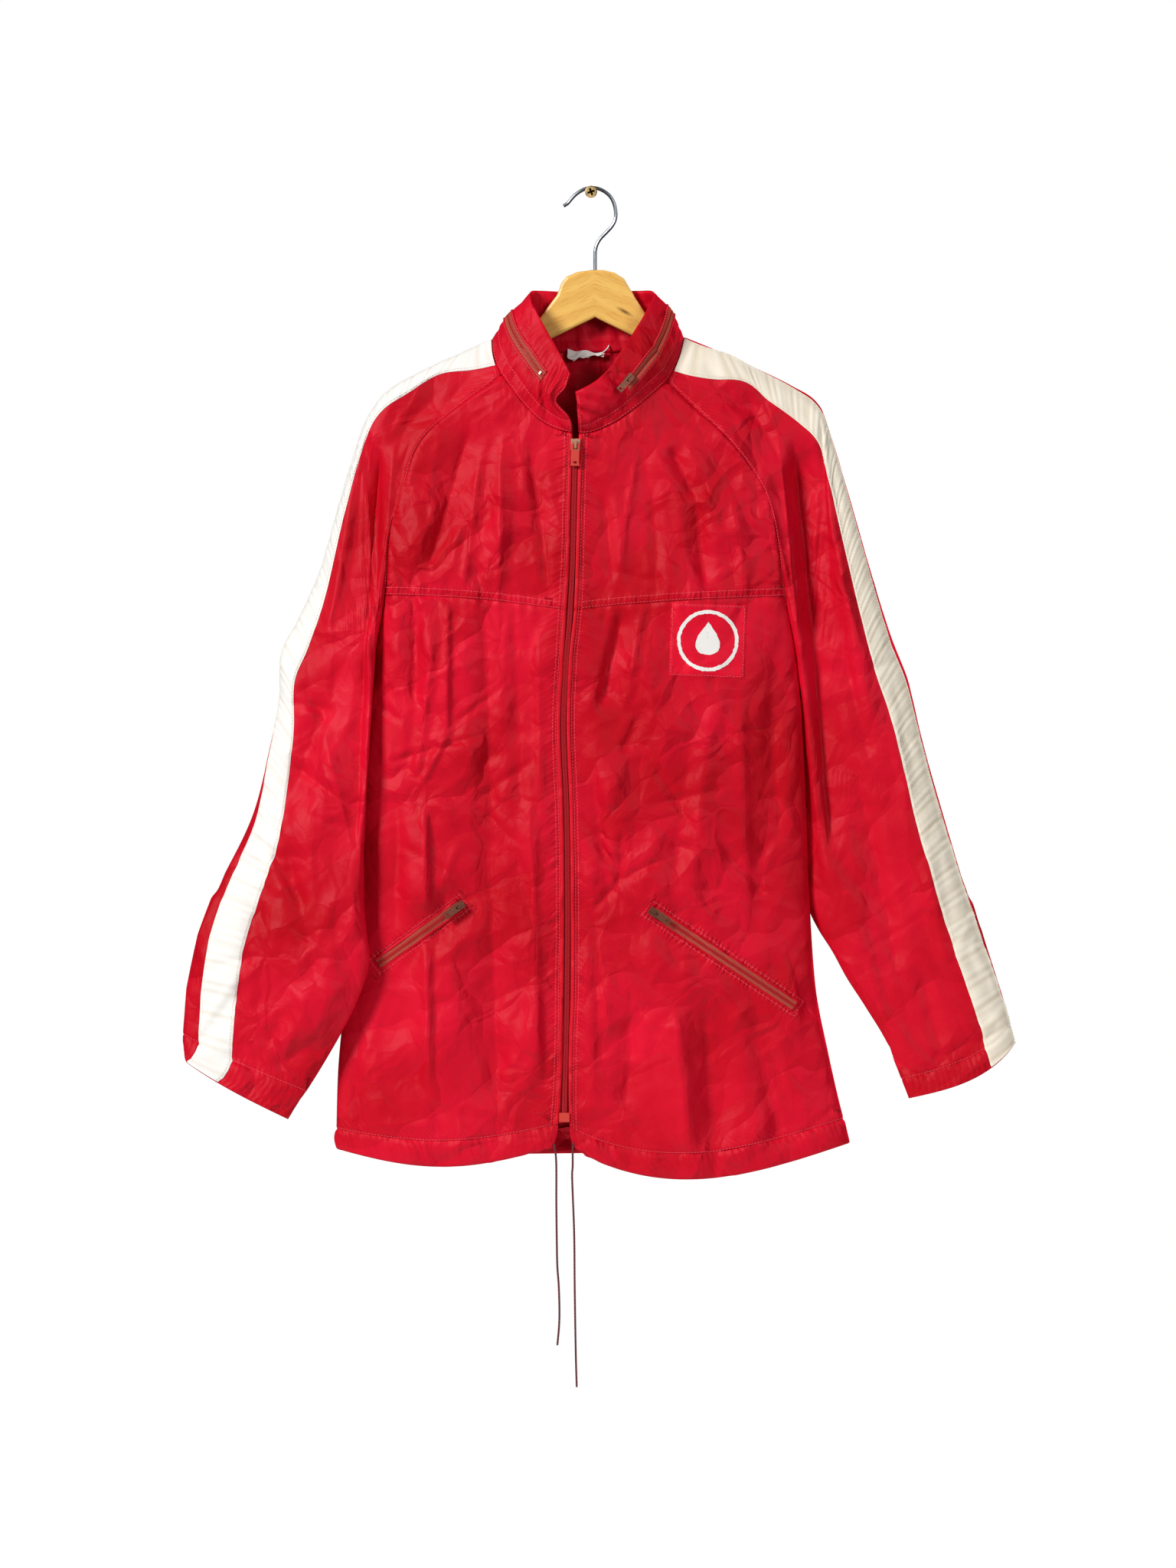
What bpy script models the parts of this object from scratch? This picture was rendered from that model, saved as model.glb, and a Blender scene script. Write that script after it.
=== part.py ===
"""Rain jacket with raglan sleeves, hung closed on a wooden hanger that hangs on a wall screw.

Metres, +Z up, the front towards -Y, the wall at y = 0. The origin is on the screw's axis, at the
wall. Right and left are the wearer's, so the right sleeve is the one at -X. Every table below is
in millimetres and is read through MM. The cloth is made as sections: front sections run from the
zip to the side seam or raglan seam, back sections from seam to seam, and sleeve rings run from the
over-arm line forward to the underarm seam and back behind.
"""
import bpy
import bmesh
import math
import numpy as np
from mathutils import Matrix, Vector
from mathutils.bvhtree import BVHTree

MM = 0.001

# --- driving sizes, in millimetres ---------------------------------------------------------------
CLOTH = 1.0              # wall that stands for the nylon and its seam allowances
SEAM_GAP = 0.3           # between two pieces at a flat seam
RIDGE_GAP = 3.7          # at a seam that is a ridge, whose inner edges would meet first
LAID_GAP = 0.45          # between a panel and a trim that lies on it
ZIP_CALM = (14, 34)      # folds start this far from the zip edge, and are full by here
# Where a ring's points are, as shares of the way from the over-arm line to the underarm seam. They
# are closer at both ends, where the sleeve turns over the hanger's arm and at the seam.
RING_SHARES = (0, 0.025, 0.07, 0.16, 0.28, 0.41, 0.55, 0.69, 0.82, 0.93, 1)
HALF_RING = len(RING_SHARES) - 1
NECK_STEPS = 3           # of those, the steps along the neckline
FRONT_COLUMNS = 8
ARMPIT, YOKE, NECK = 7, 8, 12      # stations, rows of the tables below
HEM, CASING = 0, 1
CUFF_START, CUFF_END = 15.6, 16    # the sleeve's turned hem, in ring stations

FRONT_COLUMN_NAMES = ("centre_x", "centre_z", "edge_x", "edge_z", "drop", "centre_y", "edge_y", "square")
FRONT = {
    "right": [
        # centre_x, centre_z, edge_x, edge_z, drop, centre_y, edge_y, square
        (-38, -936, -250, -938, 18, -56, -31, 2.8),    # bottom edge of the hem
        (-33, -914, -250, -919, 14, -58, -32, 2.9),    # casing stitch line
        (-29, -856, -248, -857, 6, -60, -33, 3.0),
        (-28, -781, -241, -782, 2, -63, -34, 3.2),     # pocket
        (-27, -694, -235, -694, 0, -66, -35, 3.2),     # waist
        (-28, -608, -229, -607, 0, -69, -36, 3.2),
        (-31, -526, -223, -522, 0, -71, -37, 3.0),
        (-28, -464, -214, -451, 0, -72, -40, 2.8),     # armpit
        (-25, -412, -202, -397, -4, -72, -56, 2.6),    # chest yoke seam
        (-22, -361, -198, -338, -2, -72, -60, 2.4),
        (-21, -312, -186, -293, 0, -71, -60, 2.2),
        (-20, -272, -162, -238, 3, -69, -55, 2.2),
        (-19, -238, -88, -180, 14, -66, -47, 2.2),     # neck seam
    ],
    "left": [
        (-16, -936, 254, -932, 33, -56, -31, 3.0),
        (-20, -916, 248, -909, 30, -58, -32, 3.0),
        (-21, -848, 234, -848, 15, -60, -33, 3.2),
        (-19, -781, 220, -781, 5, -63, -34, 3.4),
        (-19, -694, 210, -694, 0, -66, -35, 3.4),
        (-20, -608, 207, -607, 0, -69, -36, 3.4),
        (-23, -526, 205, -522, 0, -71, -37, 3.2),
        (-21, -464, 201, -451, 0, -72, -40, 3.0),
        (-16, -412, 190, -398, -3, -72, -56, 2.6),
        (-14, -361, 183, -342, -2, -72, -60, 2.4),
        (-13, -312, 171, -295, 0, -71, -60, 2.2),
        (-12, -272, 137, -246, 3, -69, -55, 2.2),
        (-11, -238, 74, -187, 10, -66, -47, 2.2),
    ],
}
DROP_PEAK = {"right": 0.5, "left": 0.42}    # where along a section its drop is deepest

# Above the armpit the back has raglan seams of its own. Below it, the fronts' side seams are its edges.
BACK_RAGLAN = {
    "right": [
        # x, z, y
        (-204, -395, -24), (-197, -338, -17), (-183, -286, -13), (-148, -222, -12), (-82, -152, -13),
    ],
    "left": [
        (192, -395, -24), (185, -338, -17), (171, -286, -13), (137, -222, -12), (76, -151, -13),
    ],
}
BACK_Y, BACK_SQUARE = -5, 3.2
BACK_NECK_DROP, BACK_HEM_DROP = 5, 8      # of its edge there, halfway across

SLEEVE_COLUMNS = ("out_x", "out_z", "out_y", "in_x", "in_z", "in_y", "bow", "front", "back")
SLEEVE = {
    "right": [
        # over-arm x, z, y | underarm x, z, y | bow, depth in front, depth behind
        (-129, -160, -23, -215, -460, -48, 26, 24, 17),
        (-168, -178, -23, -216, -472, -56, 20, 26, 17),
        (-200, -197, -23, -217, -488, -62, 12, 27, 17),
        (-220, -225, -25, -218, -507, -66, 6, 26, 17),
        (-239, -271, -27, -219, -530, -69, 2, 25, 17),
        (-256, -323, -30, -220, -556, -72, 0, 24, 17),
        (-269, -372, -31, -221, -586, -74, 0, 22, 16),
        (-290, -419, -32, -222, -620, -75, 0, 20, 15),
        (-307, -451, -34, -223, -646, -76, 0, 20, 15),
        (-310, -496, -35, -223, -672, -76, 0, 20, 15),
        (-322, -552, -36, -223, -698, -76, 0, 20, 15),
        (-337, -612, -38, -221, -724, -76, 0, 20, 15),
        (-365, -672, -39, -218, -754, -75, 0, 20, 15),
        (-386, -728, -40, -228, -788, -71, 0, 19, 15),
        (-397, -781, -41, -250, -832, -63, 1, 18, 14),
        (-401, -850, -42, -296, -909, -55, 3, 15, 12),
    ],
    "left": [
        (125, -156, -23, 202, -460, -40, 24, 24, 17),
        (160, -172, -23, 203, -472, -37, 19, 27, 16),
        (197, -190, -23, 204, -488, -34, 12, 29, 15),
        (223, -208, -25, 206, -507, -31, 6, 29, 15),
        (241, -248, -27, 208, -530, -28, 2, 28, 14),
        (259, -304, -29, 211, -560, -26, 0, 27, 14),
        (277, -364, -30, 213, -593, -25, 0, 26, 14),
        (298, -432, -31, 215, -627, -25, 0, 25, 14),
        (315, -477, -32, 216, -661, -25, 0, 24, 14),
        (328, -526, -33, 219, -697, -26, 0, 23, 14),
        (342, -578, -34, 227, -721, -28, 0, 22, 14),
        (356, -627, -35, 237, -745, -31, 0, 21, 14),
        (370, -674, -36, 251, -771, -34, 1, 20, 14),
        (387, -728, -37, 269, -799, -37, 4, 19, 14),
        (402, -779, -38, 290, -835, -39, 8, 18, 14),
        (415, -835, -40, 311, -889, -41, 12, 15, 12),
    ],
}
SHOULDER_POINT = {"right": (-97, -144, -25), "left": (91, -142, -25)}    # x, z, y where sleeve meets collar
NECK_BULGE = 3           # of the neckline, outwards between the shoulder and the raglan seam
RING_ROUND = 0.75        # below 1, a ring is flatter in front and rounder at its ends
BOW_SKEW = 0.8           # below 1, a ring bows most nearer the over-arm line

# The largest folds, as seen from the front: troughs push the cloth back, ridges have a negative depth.
FRONT_FOLDS = [
    # x0, z0, x1, z1, width, depth
    (-118, -236, -166, -372, 26, 9),       # from the neck to the right side of the yoke
    (-88, -240, -92, -392, 22, -5),
    (-56, -258, -50, -392, 14, 6),         # from the collar down to the yoke
    (-136, -405, -160, -560, 24, 8),       # below the yoke
    (-84, -420, -80, -640, 30, 9),
    (-160, -600, -156, -760, 22, -6),
    (-100, -680, -96, -880, 46, 8),
    (84, -250, 108, -380, 22, 8),
    (40, -240, 24, -350, 24, -6),
    (40, -420, 14, -520, 24, 9),           # slanting from the yoke towards the zip
    (108, -520, 100, -700, 24, 8),
    (150, -500, 158, -700, 20, -6),
    (84, -800, 96, -900, 30, 8),
]
SLEEVE_FOLDS = {
    "right": [
        (-206, -262, -222, -440, 24, 15),      # valley beside the raglan seam
        (-216, -440, -226, -640, 22, 10),
        (-250, -470, -300, -600, 24, 7),
        (-300, -640, -268, -780, 24, 6),
    ],
    "left": [
        (198, -262, 218, -440, 26, 17),
        (218, -440, 236, -640, 26, 13),
        (262, -560, 300, -760, 24, 8),
        (330, -640, 350, -760, 20, -5),
    ],
}
BACK_FOLDS = [
    (-110, -260, -120, -620, 40, 4),
    (60, -300, 90, -700, 44, 4),
    (-20, -420, -10, -880, 40, 3),
]

COLLAR_TOP = [
    # place round the neckline from the right front end (0) to the left one (1), x, z, y of the top edge
    (0.00, -21, -182, -82),
    (0.05, -24, -174, -79),
    (0.12, -33, -157, -72),
    (0.20, -48, -130, -62),
    (0.26, -59, -109, -48),
    (0.32, -60, -99, -34),
    (0.38, -50, -97, -15),
    (0.50, -3, -99, -8),
    (0.62, 46, -97, -15),
    (0.68, 62, -99, -34),
    (0.74, 58, -112, -48),
    (0.80, 46, -133, -60),
    (0.88, 30, -158, -70),
    (0.94, 16, -178, -77),
    (0.97, 2, -190, -80),
    (1.00, -15, -199, -82),
]
COLLAR_EDGE, COLLAR_BELLY = 1.6, 5.0      # wall at the seam and top fold, and what the rolled hood adds
COLLAR_OUT = 4                            # how far the hood pushes the collar's middle outwards
COLLAR_LIFT = 0.5                         # clear of the panels' top edges
COLLAR_STEPS = 26
COLLAR_ZIP_AT = 0.55                      # height of its zip, as a share of the collar
COLLAR_ZIP_LIFT = 1.0
COLLAR_ZIP = (7.0, 1.2)                   # width, thickness

ZIP_CHAIN = (5.0, 1.8)                    # width, thickness
ZIP_PROUD = 0.6                           # how far the chain stands out of the cloth
ZIP_TAPE = (12.0, 0.7)                    # width of each tape, thickness
ZIP_TAPE_GAP = 0.4                        # behind the cloth, over the seam's own gap
ZIP_TOP, ZIP_BOTTOM = -243, -908          # z of the chain's ends
POCKET_ZIP = {                            # upper inner end and lower outer end, x and z
    "right": ((-129, -700), (-208, -757)),
    "left": ((61, -706), (199, -798)),
}
POCKET_TAPE = (9.0, 1.2)
ARM_TAPE = (38.0, 0.8)                    # one broad tape
ARM_BAND = 6.0                            # depth of the band that cuts it out
ARM_TAPE_FROM, ARM_TAPE_TO = 0.14, 15.95  # ring stations of its ends
ARM_TAPE_AT = {                           # ring station, and its middle forward of the over-arm line
    "right": ((0, 12), (2, 10), (4, 8), (7, 14), (10, 24), (13, 34), (16, 44)),
    "left": ((0, 20), (2, 26), (4, 30), (7, 30), (10, 27), (13, 24), (16, 20)),
}
CUFF_ZIP_BEHIND = {"right": -14, "left": -22}    # its middle, forward of the over-arm line
PATCH = ((76, -404), (152, -478))         # chest patch, its top inner and bottom outer corner
PATCH_THICK = 0.8
LABEL = (36, 13, 0.8)                     # neck label: width, height, thickness
LABEL_AT = (-23, -6.7, -159)              # its right top corner, x, y, z
ZIP_BOX = (10, 9, 4)                      # width, height, thickness
ZIP_BOX_PROUD = 0.9                       # its middle in front of the cloth's edge
CUFF_ZIP = (8, 1.2)                       # width, thickness
CUFF_ZIP_FROM, CUFF_ZIP_TO = 13.4, 15.9   # along the sleeve, in ring stations

# A slider has a bail on its face, and its pull's bar turns under the bail. These are the main zip's
# sizes, and the other sliders are smaller by their factor.
SLIDER_SIZE = {"main": 1.0, "pocket": 0.85, "cuff": 0.8, "collar": 0.8}
SLIDER_BODY = (9.0, 11.0, 3.0)            # across, along, thick
SLIDER_LIFT = 0.8                         # from the tape's face to the slider
BAIL_WIDE, BAIL_HIGH, BAIL_LEG, BAIL_REACH = 2.0, 3.4, 1.4, 3.9
BAIL_BAR, BAIL_SUNK = 0.9, 0.5            # thickness of its top, and how deep its feet go in
PIN_HIGH = 1.25                           # from the slider's face to the pull's bar
PULL_PLATE = (8.0, 22.0, 1.2)
PULL_BAR = 0.8                            # half the width of the bar at its hinge end
PULL_WINDOW = (3.6, 4.9)                  # across, along
PULL_HOLE = (3.6, 2.2)
PULL_END = 3.0                            # from its hole to its free end, with half the bar

HANGER_Y, HANGER_THICK = -22, 10
HANGER_TOP = [(-50, -123), (-33.5, -101), (-29, -89), (-24, -83), (-14, -78.5), (0, -76.5),
              (12, -76.5), (23, -79), (32.5, -85), (36.5, -92), (43, -103), (53, -118)]    # wooden head
HANGER_ARMS = {                           # the top line and round the tip, x and z
    "right": ((-74, -143), (-98, -158), (-129, -172), (-165, -188), (-192, -204), (-194, -211), (-187, -216)),
    "left": ((70, -141), (92, -156), (125, -169), (160, -183), (195, -202), (198, -209), (190, -214)),
}
HANGER_CROTCH = (4, -123)                # apex of the underside
HOOK_WIRE = 1.75
HOOK_HOLE = (4, 2.3, 30)                  # its x, radius and length, down into the hanger's head
HOOK_HOLE_Z = -82
HOOK_ROUTE = [(4, -92), (4, -76), (4, -64), (4.5, -55), (8, -47), (14, -40.5), (20, -34), (23.5, -27.5),
              (24.3, -21), (23, -12.5), (19.5, -5), (13.5, 0.5), (6.5, 3.7), (0, 4.35), (-6, 3.2),
              (-11.5, 0.4), (-16.5, -3.5), (-20.5, -8), (-23, -11), (-27, -13.5)]
SCREW_OUT = 31                            # from the wall to its head's face
SCREW_PROFILE = [                         # radius, distance from the wall
    (0, 31), (4.8, 31), (6.0, 30), (2.3, 26.8), (2.3, 0), (0, 0),
]
CROSS_SLOT, CROSS_TURN = (7.4, 2.1, 3.0), 20   # length, width and depth, and its angle in degrees

CORD_RADIUS = 1.0
CORD_ROUTES = {
    "right": [(-36.5, -57.5, -933), (-35, -58, -940), (-34, -59, -955), (-34, -59, -990),
              (-33.5, -59, -1030), (-33, -59, -1053), (-31.5, -59, -1074), (-31, -59, -1105),
              (-33, -59, -1130)],
    "left": [(-17.6, -57.5, -932), (-18, -58, -940), (-18, -59, -955), (-18.5, -59, -968),
             (-16.5, -59, -1021), (-16, -59, -1074), (-15, -59, -1137), (-14, -59, -1171)],
}
CORD_POINTS = 30

COLOURS = {                               # linear red, green, blue, roughness, metallic
    "nylon_red": (0.62, 0.02, 0.045, 0.45, 0.0),
    "tape_white": (0.86, 0.80, 0.72, 0.6, 0.0),
    "zip_tape_rust": (0.40, 0.05, 0.03, 0.7, 0.0),
    "zip_metal": (0.45, 0.25, 0.14, 0.35, 1.0),
    "label_white": (0.85, 0.83, 0.80, 0.6, 0.0),
    "maple_wood": (0.78, 0.52, 0.25, 0.45, 0.0),
    "chrome_wire": (0.72, 0.72, 0.74, 0.15, 1.0),
    "brass_screw": (0.75, 0.50, 0.16, 0.35, 1.0),
    "cord_maroon": (0.20, 0.03, 0.04, 0.8, 0.0),
}


# --- scene and materials -------------------------------------------------------------------------
def empty_scene():
    for obj in list(bpy.data.objects):
        bpy.data.objects.remove(obj)


def make_collection(name):
    collection = bpy.data.collections.new(name)
    bpy.context.scene.collection.children.link(collection)
    return collection


def make_materials():
    made = {}
    for name, (red, green, blue, roughness, metallic) in COLOURS.items():
        material = bpy.data.materials.new(name)
        material.use_nodes = True
        shader = material.node_tree.nodes["Principled BSDF"]
        shader.inputs["Base Color"].default_value = (red, green, blue, 1)
        shader.inputs["Roughness"].default_value = roughness
        shader.inputs["Metallic"].default_value = metallic
        made[name] = material
    return made


empty_scene()
JACKET = make_collection("rain_jacket")
CUTTERS = make_collection("cutters")
MATERIALS = make_materials()


def add_object(name, data, material, collection=JACKET):
    obj = bpy.data.objects.new(name, data)
    collection.objects.link(obj)
    if material:
        data.materials.append(MATERIALS[material])
    return obj


# --- sections ------------------------------------------------------------------------------------
def along_table(rows, station):
    """A row between a table's rows, on a smooth curve through them."""
    rows = np.asarray(rows, float)
    station = min(max(station, 0), len(rows) - 1)
    low = min(int(station), len(rows) - 2)
    part = station - low
    before, after = rows[max(low - 1, 0)], rows[min(low + 2, len(rows) - 1)]
    here, there = rows[low], rows[low + 1]
    return 0.5 * (2 * here + (there - before) * part
                  + (2 * before - 5 * here + 4 * there - after) * part ** 2
                  + (3 * here - before - 3 * there + after) * part ** 3)


def at_shares(points, shares):
    """Points of the same curve at these shares of its length."""
    points = np.asarray(points, float)
    lengths = np.linalg.norm(np.diff(points, axis=0), axis=1)
    along = np.concatenate([[0], np.cumsum(lengths)])
    at = np.asarray(shares) * along[-1]
    return np.stack([np.interp(at, along, points[:, k]) for k in range(3)], axis=1)


def even(points, count):
    """The same curve with count + 1 points, evenly spaced."""
    return at_shares(points, np.linspace(0, 1, count + 1))


def fold_push(x, z, folds):
    """How far the folds push the cloth back at x, z."""
    push = np.zeros_like(x)
    for x0, z0, x1, z1, width, depth in folds:
        run = np.array([x1 - x0, z1 - z0], float)
        length = np.hypot(*run)
        share = ((x - x0) * run[0] + (z - z0) * run[1]) / length ** 2
        away = np.abs((x - x0) * run[1] - (z - z0) * run[0]) / length
        across = np.where(away < width, np.cos(away / width * math.pi / 2) ** 2, 0)
        ends = np.clip(np.minimum(share + 0.15, 1.15 - share) / 0.3, 0, 1)
        push += depth * across * ends * ends * (3 - 2 * ends)
    return push


def front_section(side, station, count):
    """Points from the zip edge to the side or raglan seam, in millimetres."""
    row = dict(zip(FRONT_COLUMN_NAMES, along_table(FRONT[side], station)))
    turn = np.linspace(0, math.pi / 2, 161)
    reach = np.sin(turn) ** (2 / row["square"])
    lift = np.cos(turn) ** (2 / row["square"])
    skew = math.log(0.5) / math.log(DROP_PEAK[side])
    x = row["centre_x"] + (row["edge_x"] - row["centre_x"]) * reach
    z = row["centre_z"] + (row["edge_z"] - row["centre_z"]) * reach
    z = z - row["drop"] * np.sin(math.pi * reach ** skew)
    y = row["edge_y"] + (row["centre_y"] - row["edge_y"]) * lift
    from_zip = (np.abs(x - row["centre_x"]) - ZIP_CALM[0]) / (ZIP_CALM[1] - ZIP_CALM[0])
    calm = np.clip(np.minimum(from_zip, (1 - reach) * 6), 0, 1)
    y = y + fold_push(x, z, FRONT_FOLDS) * calm
    return even(np.stack([x, y, z], axis=1), count)


def side_edge(side, station):
    """The end of a front section: a point of the side seam or raglan seam."""
    row = dict(zip(FRONT_COLUMN_NAMES, along_table(FRONT[side], station)))
    return np.array([row["edge_x"], row["edge_y"], row["edge_z"]])


def back_edge(side, station):
    """A point of the back's own edge: the side seam below the armpit, its raglan seam above."""
    if station <= ARMPIT:
        return side_edge(side, station)
    armpit_x, armpit_y, armpit_z = side_edge(side, ARMPIT)
    rows = [(armpit_x, armpit_z, armpit_y)] + BACK_RAGLAN[side]
    x, z, y = along_table(rows, station - ARMPIT)
    return np.array([x, y, z])


def back_section(station, count):
    """Points from the right seam round the back to the left seam."""
    right, left = back_edge("right", station), back_edge("left", station)
    turn = np.linspace(0, math.pi, 321)
    reach = (1 - np.sign(np.cos(turn)) * np.abs(np.cos(turn)) ** (2 / BACK_SQUARE)) / 2
    sink = np.sin(turn) ** (2 / BACK_SQUARE)
    base = right[None] + (left - right)[None] * reach[:, None]
    base[:, 1] += (BACK_Y - base[:, 1]) * sink
    neck = max(0, station - NECK + 1)
    hem = max(0, 2 - station) / 2
    base[:, 2] -= (BACK_NECK_DROP * neck + BACK_HEM_DROP * hem) * np.sin(turn)
    calm = np.clip(np.minimum(reach * 8, (1 - reach) * 8), 0, 1)
    base[:, 1] -= fold_push(base[:, 0], base[:, 2], BACK_FOLDS) * calm
    return even(base, count)


def neckline(side, behind, count):
    """From the shoulder point down to the top of the front or back raglan seam."""
    x, z, y = SHOULDER_POINT[side]
    start = np.array([x, y, z], float)
    end = back_edge(side, NECK) if behind else side_edge(side, NECK)
    share = np.linspace(0, 1, count + 1)[:, None]
    bulge = np.array([NECK_BULGE if side == "left" else -NECK_BULGE, 0, 0]) * np.sin(math.pi * share)
    return start + (end - start) * share + bulge


def seam_ring(side):
    """The sleeve's first ring, along the neckline and the raglan seams."""
    down = np.linspace(NECK, ARMPIT, HALF_RING - NECK_STEPS + 1)
    front = np.array([side_edge(side, t) for t in down])
    behind = np.array([back_edge(side, t) for t in down])
    first = np.concatenate([neckline(side, False, NECK_STEPS)[:-1], front])
    second = np.concatenate([neckline(side, True, NECK_STEPS)[:-1], behind])
    return np.concatenate([first, second[1:-1][::-1]])


def table_ring(side, number):
    """Ring number (1 is the first row) of the sleeve's table."""
    row = dict(zip(SLEEVE_COLUMNS, SLEEVE[side][number - 1]))
    out = np.array([row["out_x"], row["out_y"], row["out_z"]], float)
    inner = np.array([row["in_x"], row["in_y"], row["in_z"]], float)
    chord = inner - out
    outward = np.array([chord[2], 0, -chord[0]]) if side == "right" else np.array([-chord[2], 0, chord[0]])
    outward = outward / np.linalg.norm(outward)
    turn = np.linspace(0, math.pi, 121)
    share = (1 - np.cos(turn)) / 2
    base = out + chord * share[:, None]
    base = base + outward * (row["bow"] * np.sin(math.pi * share ** BOW_SKEW))[:, None]
    swell = np.sin(turn) ** RING_ROUND
    front, behind = base.copy(), base.copy()
    front[:, 1] -= row["front"] * swell
    behind[:, 1] += row["back"] * swell
    front[:, 1] += fold_push(front[:, 0], front[:, 2], SLEEVE_FOLDS[side]) * np.sin(turn)
    first, second = at_shares(front, RING_SHARES), at_shares(behind, RING_SHARES)
    return np.concatenate([first, second[1:-1][::-1]])


def sleeve_rings(side):
    return np.array([seam_ring(side)] + [table_ring(side, n + 1) for n in range(len(SLEEVE[side]))])


# --- cloth pieces --------------------------------------------------------------------------------
def nudge(border, inner, gap):
    """The border moved by half the gap towards the next row in."""
    run = inner - border
    return border + run / np.linalg.norm(run, axis=-1, keepdims=True) * gap / 2


def pull_in(grid, first_row=0, last_row=0, first_column=0, last_column=0):
    """Moves a grid's border rows and columns inwards by half of each gap given."""
    grid = np.array(grid, float)
    grid[0] = nudge(grid[0], grid[1], first_row)
    grid[-1] = nudge(grid[-1], grid[-2], last_row)
    grid[:, 0] = nudge(grid[:, 0], grid[:, 1], first_column)
    grid[:, -1] = nudge(grid[:, -1], grid[:, -2], last_column)
    return grid


def grid_mesh(name, grid, closed=False, flip=False):
    """A sheet through a grid of points in millimetres, each cell two triangles."""
    rows, columns = grid.shape[:2]
    sheet = bmesh.new()
    points = [[sheet.verts.new(Vector(p) * MM) for p in line] for line in grid]
    for r in range(rows - 1):
        for c in range(columns if closed else columns - 1):
            after = (c + 1) % columns
            corners = [points[r][c], points[r][after], points[r + 1][after], points[r + 1][c]]
            sheet.faces.new(corners[::-1] if flip else corners)
    bmesh.ops.triangulate(sheet, faces=sheet.faces, quad_method="FIXED")
    mesh = bpy.data.meshes.new(name)
    sheet.to_mesh(mesh)
    sheet.free()
    return mesh


def faces_inwards(grid, outside):
    """Whether a grid's own faces look away from the direction called outside."""
    r, c = grid.shape[0] // 2, grid.shape[1] // 2
    along = grid[r, c] - grid[r, c - 1]
    down = grid[r, c] - grid[r - 1, c]
    return np.cross(along, down) @ np.asarray(outside, float) < 0


def cloth_piece(name, grid, material, closed=False, flip=None, thick=CLOTH, outward=False, outside=(0, -1, 0)):
    """A wall on a grid. It grows inwards from the grid, or outwards for a trim laid on a panel."""
    grid = np.asarray(grid)
    if flip is None:
        flip = faces_inwards(grid, outside)
    obj = add_object(name, grid_mesh(name, grid, closed, flip), material)
    wall = obj.modifiers.new("wall", "SOLIDIFY")
    wall.thickness = thick * MM
    wall.offset = 1 if outward else -1
    obj.data.shade_smooth()
    return obj


def laid_points(panel, places, lift):
    """Points on a panel's outer face seen from the front at x, z places, moved out by lift."""
    tree = BVHTree.FromObject(panel, bpy.context.evaluated_depsgraph_get())
    found = []
    for x, z in places:
        spot, normal, _, _ = tree.ray_cast(Vector((x * MM, -0.5, z * MM)), Vector((0, 1, 0)))
        found.append(np.array(spot / MM) + np.array(normal) * lift)
    return np.array(found)


def build_fronts():
    lower = list(range(CASING, ARMPIT)) + [ARMPIT, YOKE - 0.5, YOKE]
    upper = np.arange(YOKE, NECK + 0.1, 0.5)
    panels = {}
    for side in ("right", "left"):
        for part, stations in (("lower", lower), ("yoke", upper)):
            grid = pull_in([front_section(side, t, FRONT_COLUMNS) for t in stations],
                           SEAM_GAP, SEAM_GAP, SEAM_GAP, RIDGE_GAP)
            panels[side, part] = cloth_piece(f"front_{part}_{side}", grid, "nylon_red")
    return panels


def build_back():
    stations = list(range(CASING, ARMPIT)) + list(np.arange(ARMPIT, NECK + 0.1, 0.5))
    grid = pull_in([back_section(t, FRONT_COLUMNS * 2) for t in stations],
                   SEAM_GAP, SEAM_GAP, RIDGE_GAP, RIDGE_GAP)
    return cloth_piece("back", grid, "nylon_red", outside=(0, 1, 0))


def build_hem():
    """The casing, turned up all round, open at the zip."""
    rows = []
    for station in (HEM, CASING):
        right = front_section("right", station, FRONT_COLUMNS)
        left = front_section("left", station, FRONT_COLUMNS)
        behind = back_section(station, FRONT_COLUMNS * 2)
        rows.append(np.concatenate([right, behind[1:-1], left[::-1]]))
    grid = pull_in(rows, last_row=SEAM_GAP)
    return cloth_piece("hem_casing", grid, "nylon_red", thick=CLOTH + 0.4, outside=(0, 1, 0))


def sleeve_rows(side):
    """The rows of the sleeve's own piece, from the raglan seams to its turned hem."""
    rings = sleeve_rings(side)
    return pull_in(np.concatenate([rings[:16], [along_table(rings, CUFF_START)]]), RIDGE_GAP, SEAM_GAP)


def cuff_rows(side):
    rings = sleeve_rings(side)
    return pull_in([along_table(rings, t) for t in (CUFF_START, CUFF_END)], SEAM_GAP)


def build_sleeves():
    for side in ("right", "left"):
        flip = side == "right"
        cloth_piece(f"sleeve_{side}", sleeve_rows(side), "nylon_red", closed=True, flip=flip)
        cuff = cuff_rows(side)
        cloth_piece(f"cuff_{side}", cuff, "nylon_red", closed=True, flip=flip, thick=CLOTH + 0.4)


def neck_seam():
    """The whole neck seam, from the right front end round the back to the left one."""
    line = []
    for side in ("right", "left"):
        front = front_section(side, NECK, 16)
        behind = neckline(side, True, 4)
        around = np.concatenate([front, neckline(side, False, 4)[::-1][1:], behind[1:]])
        line.append(around if side == "right" else around[::-1])
    return np.concatenate([line[0], back_section(NECK, 24)[1:-1], line[1]])


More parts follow.
